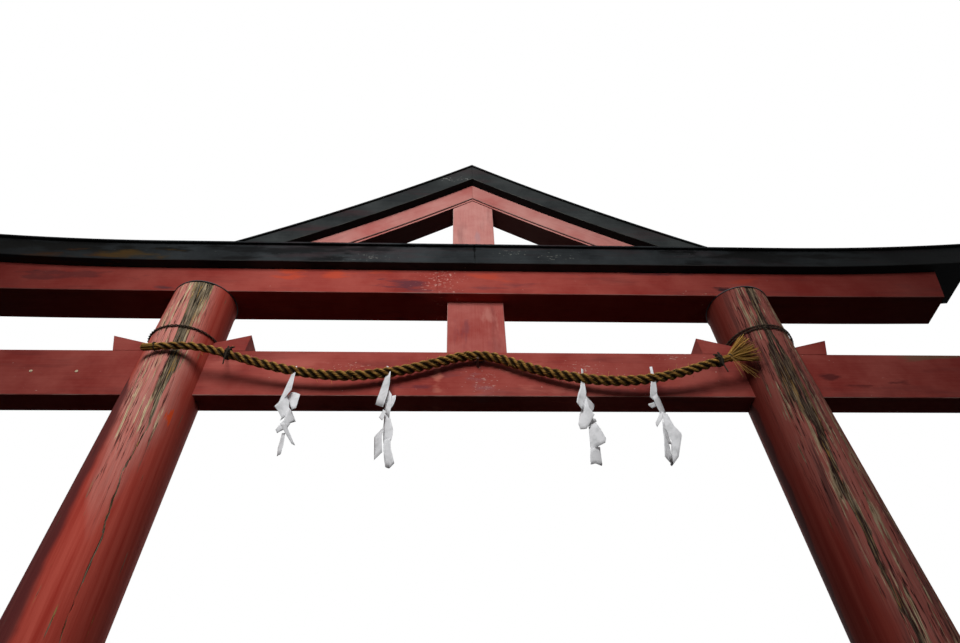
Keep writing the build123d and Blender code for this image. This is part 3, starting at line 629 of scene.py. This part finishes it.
# Upper lintel. Two heavier beams, butted at the middle, with thin boards for a roof over them.
# Black paint, matt, ribbed by the grain, flecked white where it has flaked, and stained brown at
# the left end. Three long dark smears darken it left of the middle and towards both ends: painted shade.
black_marks = (
    # The first three smears are painted shade.
    ("smear", "0B0B0C", 0.80, -0.95, 0.93, 0.80, 0.12),
    ("smear", "060606", 0.95, 1.60, 0.92, 0.85, 0.16),
    ("smear", "0A0907", 0.92, -2.10, 0.93, 0.80, 0.14),
    ("smear", "5A3716", 0.70, -2.15, 0.870, 0.60, 0.050),
    ("smear", "5A4522", 0.60, -1.75, 0.880, 0.30, 0.050),
    ("smear", "030303", 0.85, -0.002, 0.92, 0.006, 0.30),
    ("flake", "8A8B84", 0.45, -0.54, 0.875, 0.22, 0.030),
    ("flake", "8A8B84", 0.45, 0.19, 0.935, 0.13, 0.035),
    ("flake", "8A8B84", 0.45, 0.45, 0.895, 0.16, 0.040),
)
black = paint_timber("black paint on planed timber", "1A1C1E", "34383A", "4A4B49",
                     marks=black_marks, gloom=0.85, deep="030303")
coat(black, "left_upper_lintel", "right_upper_lintel", "left_roof_boards", "right_roof_boards")

# Gable. Two curved black beams under thin boards, mitred at the apex, with red rafters and
# strips below them and a pointed strut. It stands against the bright sky, so its paint is drawn
# paler than the lintels' as painted light, and its undersides darker as painted shade.
gable_slope = 34  # degrees, about what the sagging sides make with the lintels
gable_flakes = (("flake", "B4B5AF", 0.55, -0.13, 1.73, 0.22, 0.03),)
# The paler black and red here are painted light, for the brighter sky round the gable.
sky_lit_black = paint_timber("sky-lit black paint on planed timber", "1D2021", "393C3C", "6C6D68",
                           marks=gable_flakes, deep="060505", under=0.85)
coat(sky_lit_black, "left_gable_beam", "right_gable_beam", "left_gable_boards", "right_gable_boards")
for side, turn in (("left", gable_slope), ("right", -gable_slope)):
    sky_lit_red = paint_timber("sky-lit iron oxide paint, " + side, "AD625C", "C18880", "C9A79E",
                             turn=turn, deep="240605", under=0.85)
    coat(sky_lit_red, side + "_gable_rafter", side + "_rafter_strip")
gable_strut_marks = (
    ("smear", "A58388", 0.50, 0.03, 1.16, 0.03, 0.10),
    ("smear", "9C7479", 0.50, -0.06, 1.10, 0.03, 0.06),
)
sky_lit_upright = paint_timber("sky-lit iron oxide paint, upright", "B06660", "C98F87", "C9A79E",
                             marks=gable_strut_marks, upright=True)
coat(sky_lit_upright, "gable_strut")

# Straw rope. Rice straw twisted into three strands and laid up left over right, 48 mm thick,
# thinner at its left end. It lies across the left post and hangs in front of the tie beam.
rope_route = [
    (-1.388, -0.180, 0.163), (-1.262, -0.179, 0.178), (-1.130, -0.161, 0.158),
    (-0.980, -0.141, 0.117), (-0.830, -0.125, 0.082), (-0.680, -0.113, 0.063),
    (-0.545, -0.104, 0.066), (-0.420, -0.097, 0.089), (-0.300, -0.092, 0.121),
    (-0.175, -0.089, 0.168), (-0.060, -0.088, 0.212), (0.060, -0.088, 0.212),
    (0.175, -0.089, 0.158), (0.300, -0.093, 0.105), (0.430, -0.099, 0.066),
    (0.570, -0.108, 0.038), (0.720, -0.119, 0.035), (0.870, -0.133, 0.060),
    (0.985, -0.147, 0.097), (1.069, -0.156, 0.121),
]
rope_radius = 0.024
rope_lay = 0.123  # along the rope, for one turn of a strand

# Rice straw: golden where it is clean, brown where damp has got in, in patches of 17 mm, and
# darkened nearly to black down in the grooves between the strands as painted shade. Each straw
# has a shade of its own.
straw_colour, tree = start_finish("dried rice straw")
shade = add(tree, "ShaderNodeAttribute", attribute_name="shade").outputs["Fac"]
crown = add(tree, "ShaderNodeAttribute", attribute_name="crown").outputs["Fac"]
place = add(tree, "ShaderNodeTexCoord").outputs["Object"]
mottle = add(tree, "ShaderNodeTexNoise", {0: place, "Scale": 60.0, "Detail": 3.0})
mottle = add(tree, "ShaderNodeMath", {0: mottle, 1: -0.5})
golden = add(tree, "ShaderNodeMath", {0: shade, 1: mottle})
golden = add(tree, "ShaderNodeMapRange", {0: golden, 1: 0.0, 2: 1.0})
# Painted shade: straws that face into the rope are darkened, as the grooves get little light.
groove_shade = add(tree, "ShaderNodeMapRange", {0: crown, 1: 0.62, 2: 0.98, 3: 0.92, 4: 0.0})
straw_tone = srgb("6E4412")
for where, colour in ((golden, "D8A652"), (groove_shade, "120A05")):
    straw_tone = add(tree, "ShaderNodeMix", {0: where, 6: straw_tone, 7: srgb(colour)},
                     data_type="RGBA").outputs[2]
end_finish(tree, straw_tone, roughness=0.6, shine=0.15)


def read_route(name, points):
    """A smooth line along a route, as a mesh. The route is measured from the gate's middle."""
    data = bpy.data.curves.new(name, "CURVE")
    data.dimensions = "3D"
    spline = data.splines.new("NURBS")
    spline.points.add(len(points) - 1)
    for point, place in zip(spline.points, points):
        point.co = (*(Vector(place) + gate), 1)
    spline.order_u = 3
    spline.use_endpoint_u = True
    line = bring_in(name, data)
    mesh = bpy.data.meshes.new_from_object(line.evaluated_get(bpy.context.evaluated_depsgraph_get()))
    bpy.data.objects.remove(line)
    return mesh


def finish_straws(tree, lines, sides, radius, material):
    """Ends a tree of straws: each line becomes a round straw with this many sides."""
    section = add(tree, "GeometryNodeCurvePrimitiveCircle", {"Resolution": sides, "Radius": radius})
    mesh = add(tree, "GeometryNodeCurveToMesh", {0: lines, 1: section, "Fill Caps": True})
    finish_tree(tree, mesh, material)


def laid_rope(name, material, thin_left=1.0, thin_right=1.0, normals="Z_UP"):
    """A tree that lays strands of straws round a line: it turns each straw in its strand back
    against the strands' own turn, so that the straws on the outside lie along the rope."""
    turn_back = -1.46  # turns of a straw in its strand, for one turn of the strand
    round_three = 2.1547  # the radius of a circle round three equal ones, to theirs
    tree, size = new_tree(name, Strands=3, Straws=13, Radius=rope_radius, Lay=rope_lay,
                          Straw_Radius=0.0023, Steps=340, Seed=4)
    line = add(tree, "GeometryNodeMeshToCurve", {0: size["Geometry"]})
    line = add(tree, "GeometryNodeResampleCurve", {"Curve": line, "Count": size["Steps"]})
    line = add(tree, "GeometryNodeSetCurveNormal", {0: line}, mode=normals)
    total = add(tree, "ShaderNodeMath", {0: size["Strands"], 1: size["Straws"]}, operation="MULTIPLY")
    copies = add(tree, "GeometryNodeDuplicateElements", {0: line, "Amount": total}, domain="SPLINE")
    number = copies.outputs["Duplicate Index"]
    strand = add(tree, "ShaderNodeMath", {0: number, 1: size["Straws"]}, operation="DIVIDE")
    strand = add(tree, "ShaderNodeMath", {0: strand}, operation="FLOOR")
    straw = add(tree, "ShaderNodeMath", {0: number, 1: size["Straws"]}, operation="MODULO")
    along = add(tree, "GeometryNodeSplineParameter")
    turns = add(tree, "ShaderNodeMath", {0: along.outputs["Length"], 1: size["Lay"]}, operation="DIVIDE")
    own = add(tree, "ShaderNodeMath", {0: number, 1: 7.3, 2: turns}, operation="MULTIPLY_ADD")
    wobble = add(tree, "ShaderNodeTexNoise", {"W": own, "Scale": 2.0, "Detail": 1.0},
                 noise_dimensions="1D")
    strand_share = add(tree, "ShaderNodeMath", {0: strand, 1: size["Strands"]}, operation="DIVIDE")
    strand_turn = add(tree, "ShaderNodeMath", {0: strand_share, 1: turns})
    straw_share = add(tree, "ShaderNodeMath", {0: straw, 1: size["Straws"]}, operation="DIVIDE")
    straw_turn = add(tree, "ShaderNodeMath", {0: turns, 1: turn_back, 2: straw_share},
                     operation="MULTIPLY_ADD")
    straw_turn = add(tree, "ShaderNodeMath", {0: wobble, 1: 0.16, 2: straw_turn},
                     operation="MULTIPLY_ADD")
    thick = add(tree, "ShaderNodeFloatCurve", {"Value": along.outputs["Factor"]})
    set_curve(thick, [(0, thin_left), (0.32, 1.0), (0.85, 1.0), (1, thin_right)])
    full = add(tree, "ShaderNodeMath", {0: thick, 1: size["Radius"]}, operation="MULTIPLY")
    strand_radius = add(tree, "ShaderNodeMath", {0: full, 1: 1 / round_three}, operation="MULTIPLY")
    strand_off = add(tree, "ShaderNodeMath", {0: full, 1: strand_radius}, operation="SUBTRACT")
    straw_off = add(tree, "ShaderNodeMath", {0: strand_radius, 1: size["Straw Radius"]},
                    operation="SUBTRACT")
    loose = add(tree, "ShaderNodeMath", {0: wobble, 1: 0.25, 2: 0.88}, operation="MULTIPLY_ADD")
    straw_off = add(tree, "ShaderNodeMath", {0: straw_off, 1: loose}, operation="MULTIPLY")
    normal = add(tree, "GeometryNodeInputNormal")
    tangent = add(tree, "GeometryNodeInputTangent")
    aside = add(tree, "ShaderNodeVectorMath", {0: tangent, 1: normal}, operation="CROSS_PRODUCT")
    place = add(tree, "GeometryNodeInputPosition")
    angles = []
    for turn, reach in ((strand_turn, strand_off), (straw_turn, straw_off)):
        angle = add(tree, "ShaderNodeMath", {0: turn, 1: 2 * math.pi}, operation="MULTIPLY")
        angles.append(angle)
        for way, wave in ((normal, "COSINE"), (aside, "SINE")):
            amount = add(tree, "ShaderNodeMath", {0: angle}, operation=wave)
            amount = add(tree, "ShaderNodeMath", {0: amount, 1: reach}, operation="MULTIPLY")
            step = add(tree, "ShaderNodeVectorMath", {0: way, "Scale": amount}, operation="SCALE")
            place = add(tree, "ShaderNodeVectorMath", {0: place, 1: step})
    # crown is 1 for straws on the outside and 0 for those facing into the rope; the straw finish paints shade
    # with it.
    facing = add(tree, "ShaderNodeMath", {0: angles[0], 1: angles[1]}, operation="SUBTRACT")
    crown = add(tree, "ShaderNodeMath", {0: facing}, operation="COSINE")
    crown = add(tree, "ShaderNodeMath", {0: crown, 1: 0.5, 2: 0.5}, operation="MULTIPLY_ADD")
    shade = add(tree, "FunctionNodeRandomValue",
                {2: 0.0, 3: 1.0, "ID": number, "Seed": size["Seed"]}, data_type="FLOAT").outputs[1]
    for field, value in (("crown", crown), ("shade", shade)):
        copies = add(tree, "GeometryNodeStoreNamedAttribute",
                     {0: copies, "Name": field, "Value": value}, data_type="FLOAT")
    moved = add(tree, "GeometryNodeSetPosition", {0: copies, "Position": place})
    moved = add(tree, "GeometryNodeSetCurveRadius", {0: moved, "Radius": thick})
    finish_straws(tree, moved, 5, size["Straw Radius"], material)
    return tree


route_mesh = read_route("rope_route", rope_route)
rope_points = [tuple(v.co) for v in route_mesh.vertices]
rope_tree = laid_rope("laid straw rope", straw_colour, thin_left=0.72, thin_right=0.86)
rope = grow(rope_tree, "straw_rope_strands", route_mesh)

# Short ends of straw stand out from the rope all along it.
hair_tree, size = new_tree("straw hairs", Count=210, Shortest=0.030, Longest=0.046,
                           Straw_Radius=0.0006, Seed=9)
line = add(hair_tree, "GeometryNodeMeshToCurve", {0: size["Geometry"]})
spots = add(hair_tree, "GeometryNodeCurveToPoints", {"Curve": line, "Count": size["Count"]})
wild = add(hair_tree, "FunctionNodeRandomValue",
           {0: (-1, -1, -1), 1: (1, 1, 1), "Seed": size["Seed"]}, data_type="FLOAT_VECTOR")
pointing = add(hair_tree, "ShaderNodeVectorMath", {0: spots.outputs["Tangent"], 1: wild})
rotation = add(hair_tree, "FunctionNodeAlignRotationToVector", {"Vector": pointing}, axis="Z")
length = add(hair_tree, "FunctionNodeRandomValue",
             {2: size["Shortest"], 3: size["Longest"], "Seed": size["Seed"]}, data_type="FLOAT")
straight = add(hair_tree, "GeometryNodeCurvePrimitiveLine", {"Start": (0, 0, 0), "End": (0, 0, 1)})
hair = add(hair_tree, "GeometryNodeInstanceOnPoints",
           {0: spots, "Instance": straight, "Rotation": rotation, "Scale": length.outputs[1]})
hair = add(hair_tree, "GeometryNodeRealizeInstances", {0: hair})
for field, value in (("shade", 0.9), ("crown", 1.0)):
    hair = add(hair_tree, "GeometryNodeStoreNamedAttribute",
               {0: hair, "Name": field, "Value": value}, data_type="FLOAT")
finish_straws(hair_tree, hair, 3, size["Straw Radius"], straw_colour)
hairs = grow(hair_tree, "straw_rope_hairs", read_route("hair_route", rope_route))

for piece in (rope, hairs):
    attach(piece, "root")
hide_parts("straw_rope")

# Rope nail. A cut iron nail with no head, driven into the tie beam at the middle, over which the
# rope is hooked up. Rust has browned it in spots of 4 mm.
nail_iron = speckled_finish("rusted iron", "1B1716", "5A3422", spots=250.0, detail=4.0, roughness=0.8)
coat(nail_iron, "rope_nail")

# Straw ends. At the left the rope runs out to a short blunt point; at the right its straws are
# left loose beyond the whipping, and spread in a fan before the post, with a few hanging out.
def loose_straws(name, material):
    """A tree that fans straws out from a round bundle at their foot."""
    tree, size = new_tree(name, Foot=(0.0, 0.0, 0.0), Axis=(1.0, 0.0, 0.0), Up=(0.0, 0.0, 1.0),
                          Side=(0.0, 1.0, 0.0), Count=60, Length=0.1, Shortest=0.7, Bundle=0.02,
                          Spread=0.05, Side_Spread=0.02, Straw_Radius=0.0015, Seed=1)
    line = add(tree, "GeometryNodeCurvePrimitiveLine", {"Start": (0, 0, 0), "End": (1, 0, 0)})
    line = add(tree, "GeometryNodeResampleCurve", {"Curve": line, "Count": 9})
    copies = add(tree, "GeometryNodeDuplicateElements", {0: line, "Amount": size["Count"]}, domain="SPLINE")
    number = copies.outputs["Duplicate Index"]
    chance = {}
    for step, use in enumerate(("angle", "reach", "length", "stray", "shade")):
        seed = add(tree, "ShaderNodeMath", {0: size["Seed"], 1: float(step * 17)})
        chance[use] = add(tree, "FunctionNodeRandomValue", {2: 0.0, 3: 1.0, "ID": number, "Seed": seed},
                          data_type="FLOAT").outputs[1]
    along = add(tree, "GeometryNodeSplineParameter").outputs["Factor"]
    share = add(tree, "ShaderNodeMapRange", {0: chance["length"], 3: size["Shortest"], 4: 1.0})
    far = add(tree, "ShaderNodeMath", {0: along, 1: share}, operation="MULTIPLY")
    angle = add(tree, "ShaderNodeMath", {0: chance["angle"], 1: 2 * math.pi}, operation="MULTIPLY")
    reach = add(tree, "ShaderNodeMath", {0: chance["reach"]}, operation="SQRT")
    stray = add(tree, "ShaderNodeMath", {0: chance["stray"], 1: 0.5, 2: -0.25}, operation="MULTIPLY_ADD")
    ahead = add(tree, "ShaderNodeMath", {0: far, 1: size["Length"]}, operation="MULTIPLY")
    ahead = add(tree, "ShaderNodeVectorMath", {0: size["Axis"], "Scale": ahead}, operation="SCALE")
    place = add(tree, "ShaderNodeVectorMath", {0: size["Foot"], 1: ahead})
    for way, wave, spread, strayed in (
        ("Up", "SINE", "Spread", stray), ("Side", "COSINE", "Side Spread", 0.0),
    ):
        out = add(tree, "ShaderNodeMath", {0: angle}, operation=wave)
        out = add(tree, "ShaderNodeMath", {0: out, 1: reach}, operation="MULTIPLY")
        bundled = add(tree, "ShaderNodeMath", {0: out, 1: size["Bundle"]}, operation="MULTIPLY")
        fanned = add(tree, "ShaderNodeMath", {0: out, 1: strayed})
        fanned = add(tree, "ShaderNodeMath", {0: fanned, 1: size[spread]}, operation="MULTIPLY")
        amount = add(tree, "ShaderNodeMath", {0: fanned, 1: far, 2: bundled}, operation="MULTIPLY_ADD")
        step = add(tree, "ShaderNodeVectorMath", {0: size[way], "Scale": amount}, operation="SCALE")
        place = add(tree, "ShaderNodeVectorMath", {0: place, 1: step})
    pale = add(tree, "ShaderNodeMath", {0: chance["shade"], 1: 0.65, 2: 0.35}, operation="MULTIPLY_ADD")
    lit = add(tree, "ShaderNodeMapRange", {0: chance["stray"], 3: 0.70, 4: 1.0})
    for field, value in (("shade", pale), ("crown", lit)):
        copies = add(tree, "GeometryNodeStoreNamedAttribute",
                     {0: copies, "Name": field, "Value": value}, data_type="FLOAT")
    thick = add(tree, "ShaderNodeMapRange", {0: along, 3: 1.0, 4: 0.4})
    copies = add(tree, "GeometryNodeSetCurveRadius", {0: copies, "Radius": thick})
    moved = add(tree, "GeometryNodeSetPosition", {0: copies, "Position": place})
    finish_straws(tree, moved, 4, size["Straw Radius"], material)
    return tree


def join(target, *others):
    """Adds other pieces' meshes to a piece, and removes them."""
    whole = bmesh.new()
    for piece in (target, *others):
        whole.from_mesh(piece.data)
    whole.to_mesh(target.data)
    whole.free()
    for piece in others:
        bpy.data.objects.remove(piece)


straw_tree = loose_straws("loose straw ends", straw_colour)
rope_start = gate + Vector(rope_route[0])
rope_end = gate + Vector(rope_route[-1])
start_axis = (Vector(rope_route[0]) - Vector(rope_route[1])).normalized()
end_axis = (Vector(rope_route[-1]) - Vector(rope_route[-2])).normalized()
tassel_foot = rope_end + 0.050 * end_axis
fan_axis = Vector((0.88, -0.05, 0.48)).normalized()
tip = grow(straw_tree, "rope_tip_straws", Foot=rope_start - 0.012 * start_axis, Axis=start_axis,
           Up=(0, 0, 1), Side=(0, 1, 0), Count=80, Length=0.070, Shortest=0.86, Bundle=0.0150,
           Spread=0.002, Side_Spread=0.002, Straw_Radius=0.0021, Seed=5)
neck = grow(straw_tree, "tassel_neck", Foot=rope_end - 0.012 * end_axis, Axis=end_axis,
            Up=(0, 0, 1), Side=(0, 1, 0), Count=90, Length=0.076, Shortest=0.9, Bundle=0.0170,
            Spread=-0.001, Side_Spread=-0.001, Straw_Radius=0.0021, Seed=12)
tassel = grow(straw_tree, "tassel_straws", Foot=tassel_foot - 0.010 * end_axis, Axis=fan_axis,
              Up=(-0.30, 0, 0.95), Side=(0, 1, 0), Count=130, Length=0.146, Shortest=0.76,
              Bundle=0.015, Spread=0.070, Side_Spread=0.022, Straw_Radius=0.0016, Seed=11)
join(tassel, neck)
for number, (way, length) in enumerate((
    ((0.12, -0.05, -0.99), 0.137), ((0.28, -0.05, -0.96), 0.125), ((0.47, -0.05, -0.88), 0.168),
    ((0.62, -0.05, -0.78), 0.146), ((0.86, -0.05, -0.30), 0.125),
)):
    stray = grow(straw_tree, "stray_straw", Foot=tassel_foot - Vector((0.004, 0.012, 0.006)), Axis=way,
                 Count=2, Length=length, Shortest=0.8, Bundle=0.002, Spread=0.012, Side_Spread=0.01,
                 Straw_Radius=0.0009, Seed=30 + number)
    join(tassel, stray)
for piece, replaced in ((tip, "rope_tip"), (tassel, "rope_tassel")):
    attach(piece, "root")
    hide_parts(replaced)

# Whippings. Palm-fibre twine, tarred nearly black: wound four and a half times round the rope
# near each end and knotted in front, with a short tail. A hanger goes up behind to the tie beam.
twine, tree = start_finish("tarred palm-fibre twine")
shade = add(tree, "ShaderNodeAttribute", attribute_name="shade").outputs["Fac"]
twine_tone = add(tree, "ShaderNodeMix", {0: shade, 6: srgb("110D0A"), 7: srgb("463B2D")},
                 data_type="RGBA").outputs[2]
end_finish(tree, twine_tone, roughness=0.75, shine=0.2)
twine_tree = laid_rope("laid twine", twine, normals="MINIMUM_TWIST")


def line_mesh(points):
    """Points joined in a row by edges, for a tree to follow."""
    mesh = bpy.data.meshes.new("line")
    mesh.from_pydata([tuple(p) for p in points], [(i, i + 1) for i in range(len(points) - 1)], [])
    return mesh


def square_to(along):
    """Two directions square to a bundle of straw: a level one, and one up."""
    level_side = along.cross(Vector((0, 0, 1))).normalized()
    return level_side, level_side.cross(along).normalized()


def wind(middle, along, radius, turns, width, start=0.0):
    """The points of a winding round a bundle, from an angle where 0 is in front."""
    level_side, upright = square_to(along)
    points = []
    steps = int(turns * 16)
    for step in range(steps + 1):
        turn = start + 2 * math.pi * step / 16
        place = middle + (step / steps - 0.5) * width * along
        points.append(place + radius * (math.cos(turn) * level_side + math.sin(turn) * upright))
    return points


def whip_rope(name, middle, along, radius, tail):
    """Twine round the rope at its middle, a knot in front with two cut ends up and a tail, and a
    hanger behind that goes up to the tie beam's face."""
    beam_face = -0.053
    hanger_level = beam_level + 0.246
    outward = 1.05 * (middle.x - gate_middle)
    level_side, upright = square_to(along)
    hanger_end = Vector((gate_middle + outward, beam_face, hanger_level))
    points = [hanger_end, hanger_end.lerp(middle - radius * level_side, 0.5)]
    points += wind(middle, along, radius, turns=4.5, width=0.019, start=math.pi)
    knot = middle + (radius + 0.005) * level_side
    for number in range(19):  # three turns of a knot 15 mm across, over and under themselves
        turn = 1.1 * number
        swing = math.cos(turn) * along + math.sin(turn) * upright
        points.append(knot + 0.0075 * swing + 0.002 * math.sin(2.3 * number) * level_side)
    for slip, lift in ((0.013, 0.016), (-0.012, 0.012)):
        ear = middle + slip * along + (radius + lift) * (0.40 * level_side + 0.92 * upright)
        points += [knot.lerp(ear, 0.5) + 0.006 * level_side, ear, knot]
    points += [knot + Vector(drop) for drop in ((0.001, -0.003, -0.020), (0.000, -0.002, -0.045), tail)]
    return grow(twine_tree, name, line_mesh(points), Strands=2, Straws=3, Radius=0.0036, Lay=0.016,
                Straw_Radius=0.0017, Steps=620, Seed=2)


def nearest(place):
    """The rope's middle line at a distance from the gate's middle: its point and direction."""
    along_gate = gate_middle + place
    number = min(range(1, len(rope_points) - 1), key=lambda i: abs(rope_points[i][0] - along_gate))
    before, after = Vector(rope_points[number - 1]), Vector(rope_points[number + 1])
    return Vector(rope_points[number]), (after - before).normalized()


left_place, left_along = nearest(-1.080)
left_whipping = whip_rope("left_whipping", left_place, left_along, 0.0225, (0.003, -0.002, -0.090))
right_place = rope_end - 0.008 * end_axis
right_whipping = whip_rope("right_whipping", right_place, end_axis, 0.0235, (0.008, -0.002, -0.096))

# One and a half thin turns of the same twine hold the rope's tip and the tassel's neck together.
for name, whipping, middle, along, radius in (
    ("tip_ring", left_whipping, rope_start + 0.0044 * start_axis, start_axis, 0.0175),
    ("neck_ring", right_whipping, tassel_foot - 0.0016 * end_axis, end_axis, 0.0165),
):
    winding = line_mesh(wind(middle, along, radius, turns=1.5, width=0.0048))
    join(whipping, grow(twine_tree, name, winding, Strands=2, Straws=3, Radius=0.0034, Lay=0.016,
                        Straw_Radius=0.0016, Steps=90, Seed=3))

# Post ties. Thicker cord of the same fibre, pulled tight round each post over the wedges: one
# ring on the left post, a little slack in front, and two on the right one.
off_post = 0.0055  # from a post's face to the cord's middle


def ring_points(side, level, tilt):
    """A ring round a post. level is its middle above the tie beam's underside, and tilt, in
    degrees, brings its front down."""
    share = (beam_level + level) / post_height
    radius = foot_radius + (head_radius - foot_radius) * share + off_post
    middle = gate + Vector((side * (post_reach - post_lean * level), 0, level))
    points = []
    for step in range(73):
        turn = math.radians(90 + 5 * step)
        out = radius * math.sin(turn)
        drop = out * math.tan(math.radians(tilt))
        points.append(middle + Vector((radius * math.cos(turn), out, drop)))
    return points


rings = []
for name, side, level, tilt, radius, lay, straw_radius, seed in (
    ("left_post_cord", -1, 0.3369, 5.3, 0.0060, 0.038, 0.0020, 6),
    ("right_post_cord", 1, 0.3385, 0.0, 0.0048, 0.034, 0.0018, 7),
    ("upper_post_cord", 1, 0.3560, 0.0, 0.0048, 0.034, 0.0018, 8),
):
    rings.append(grow(twine_tree, name, line_mesh(ring_points(side, level, tilt)), Strands=2, Straws=4,
                      Radius=radius, Lay=lay, Straw_Radius=straw_radius, Steps=420, Seed=seed))
left_ring, right_ring, upper_ring = rings
join(right_ring, upper_ring)
for piece, replaced in (
    (left_whipping, "left_binding"), (right_whipping, "right_binding"),
    (left_ring, "left_post_tie"), (right_ring, "right_post_tie"),
):
    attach(piece, "root")
    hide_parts(replaced)

# Paper streamers. Each is one strip of white handmade paper, slit from both sides and folded
# over itself, so that it hangs in steps; its head is pushed through the rope's strands. Wind
# and damp have curled them, each in its own way. Outlines in millimetres from the rope's line.
streamers = {
    "paper_streamer_1": (-0.797, [
        [(4, 27), (12, 28), (13, -8), (5, -8)],
        [(-1, -10), (13, -10), (16, -123), (-16, -179), (-27, -188)],
        [(-9, -121), (13, -113), (52, -141), (48, -195), (50, -216), (35, -223), (10, -168)],
        [(-6, -147), (11, -172), (18, -209), (15, -249), (-1, -282), (0, -263), (-11, -246),
         (-29, -228), (-21, -203)],
        [(20, -216), (31, -226), (50, -263), (36, -282), (29, -311), (1, -346), (-7, -331), (13, -282)],
        [(11, -321), (26, -308), (40, -334), (71, -388), (59, -385), (31, -349)],
        [(14, -340), (29, -346), (34, -408), (33, -450), (19, -453), (13, -408), (14, -377)],
    ]),
    "paper_streamer_2": (-0.396, [
        [(-10, 39), (-2, 40), (4, -8), (-5, -8)],
        [(-8, -8), (10, -8), (11, -88), (7, -138), (-6, -205), (-39, -174), (-35, -139), (-21, -81)],
        [(-5, -121), (10, -108), (23, -138), (25, -208), (21, -256), (0, -212), (2, -174)],
        [(20, -137), (42, -144), (42, -167), (35, -194), (23, -212)],
        [(-3, -208), (20, -242), (41, -325), (42, -354), (38, -379), (21, -387), (9, -382),
         (1, -315), (1, -263)],
        [(-5, -219), (7, -236), (1, -263), (-5, -276), (-19, -256), (-11, -236)],
        [(2, -319), (0, -367), (8, -441), (-21, -463), (-13, -450), (-27, -367), (-31, -348),
         (-10, -331)],
        [(13, -382), (35, -379), (41, -429), (51, -495), (58, -498), (40, -510), (25, -500),
         (17, -459), (11, -410)],
    ]),
    "paper_streamer_3": (0.452, [
        [(8, 61), (17, 60), (14, -8), (0, -8)],
        [(-2, -8), (10, -8), (9, -83), (2, -122), (-22, -189), (-45, -165), (-29, -105), (-13, -61)],
        [(1, -117), (38, -141), (32, -164), (10, -206), (1, -196)],
        [(1, -122), (4, -189), (16, -236), (-17, -283), (-39, -277), (-43, -250), (-32, -203),
         (-13, -161)],
        [(7, -226), (31, -218), (34, -230), (-6, -283), (-12, -275)],
        [(-6, -276), (22, -266), (34, -303), (46, -354), (41, -370), (23, -373), (5, -379),
         (-10, -410), (-12, -373), (-5, -322)],
        [(-16, -394), (8, -376), (26, -370), (20, -410), (21, -452), (17, -461), (-7, -458),
         (-26, -467), (-23, -434)],
    ]),
    "paper_streamer_4": (0.750, [
        [(8, 71), (18, 70), (16, -4), (4, -4)],
        [(-1, -2), (17, 0), (11, -57), (4, -97), (-22, -129), (-33, -119), (-19, -65)],
        [(-21, -121), (5, -92), (16, -115), (27, -171), (12, -205), (-4, -195), (-16, -151)],
        [(-48, -160), (-16, -134), (-10, -152), (-34, -174), (-50, -170)],
        [(-3, -188), (13, -199), (-1, -226), (-29, -262), (-30, -239), (-13, -212)],
        [(1, -205), (17, -226), (27, -285), (41, -330), (41, -343), (18, -417), (-11, -447),
         (-15, -441), (7, -368), (8, -343), (-2, -279)],
        [(-6, -239), (3, -298), (10, -346), (-3, -348), (-16, -330), (-16, -305)],
        [(-14, -305), (-4, -346), (-11, -405), (-9, -438), (-22, -450), (-43, -435), (-28, -368)],
    ]),
}

# Handmade paper: soft white and unsized, a little greyer in damp patches of 33 mm.
paper = speckled_finish("white handmade paper", "E6E6E8", "C9CACB", spots=30.0, detail=3.0,
                        roughness=0.7, shine=0.3, low=0.45, high=0.75)
overlap = 0.07  # a leaf is this share larger than its outline, so that it laps the next one
fold_gap = 0.003
paper_wall = 0.0005
chance = random.Random(8)
for name, (across, leaves) in streamers.items():
    knot, _ = nearest(across)
    strip = bmesh.new()
    for number, outline in enumerate(leaves):
        leaf = bmesh.new()
        leaf.faces.new([leaf.verts.new((x / 1000, 0, z / 1000)) for x, z in outline])
        bmesh.ops.triangulate(leaf, faces=leaf.faces[:])
        bmesh.ops.subdivide_edges(leaf, edges=leaf.edges[:], cuts=3, use_grid_fill=True)
        middle = sum((v.co for v in leaf.verts), Vector()) / len(leaf.verts)
        lean_across = chance.choice((-0.7, -0.45, 0.45, 0.7))
        lean_down = chance.uniform(-0.15, 0.15)
        curl = chance.uniform(4, 12) * (-1) ** number
        for vert in leaf.verts:
            off = vert.co - middle
            vert.co += overlap * off
            vert.co.y = fold_gap * (-1) ** number + lean_across * off.x + lean_down * off.z + curl * off.x**2
        bmesh.ops.transform(leaf, matrix=Matrix.Translation(knot), verts=leaf.verts)
        part = bpy.data.meshes.new("leaf")
        leaf.to_mesh(part)
        leaf.free()
        strip.from_mesh(part)
    mesh = bpy.data.meshes.new(name + "_paper")
    flat_area = sum(face.calc_area() for face in strip.faces)
    strip.to_mesh(mesh)
    strip.free()
    mesh.materials.append(paper)
    mesh.shade_smooth()
    streamer = bring_in(name + "_paper", mesh)
    wall = streamer.modifiers.new("paper thickness", "SOLIDIFY")
    wall.thickness = paper_wall
    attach(streamer, "root")
    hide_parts(name)
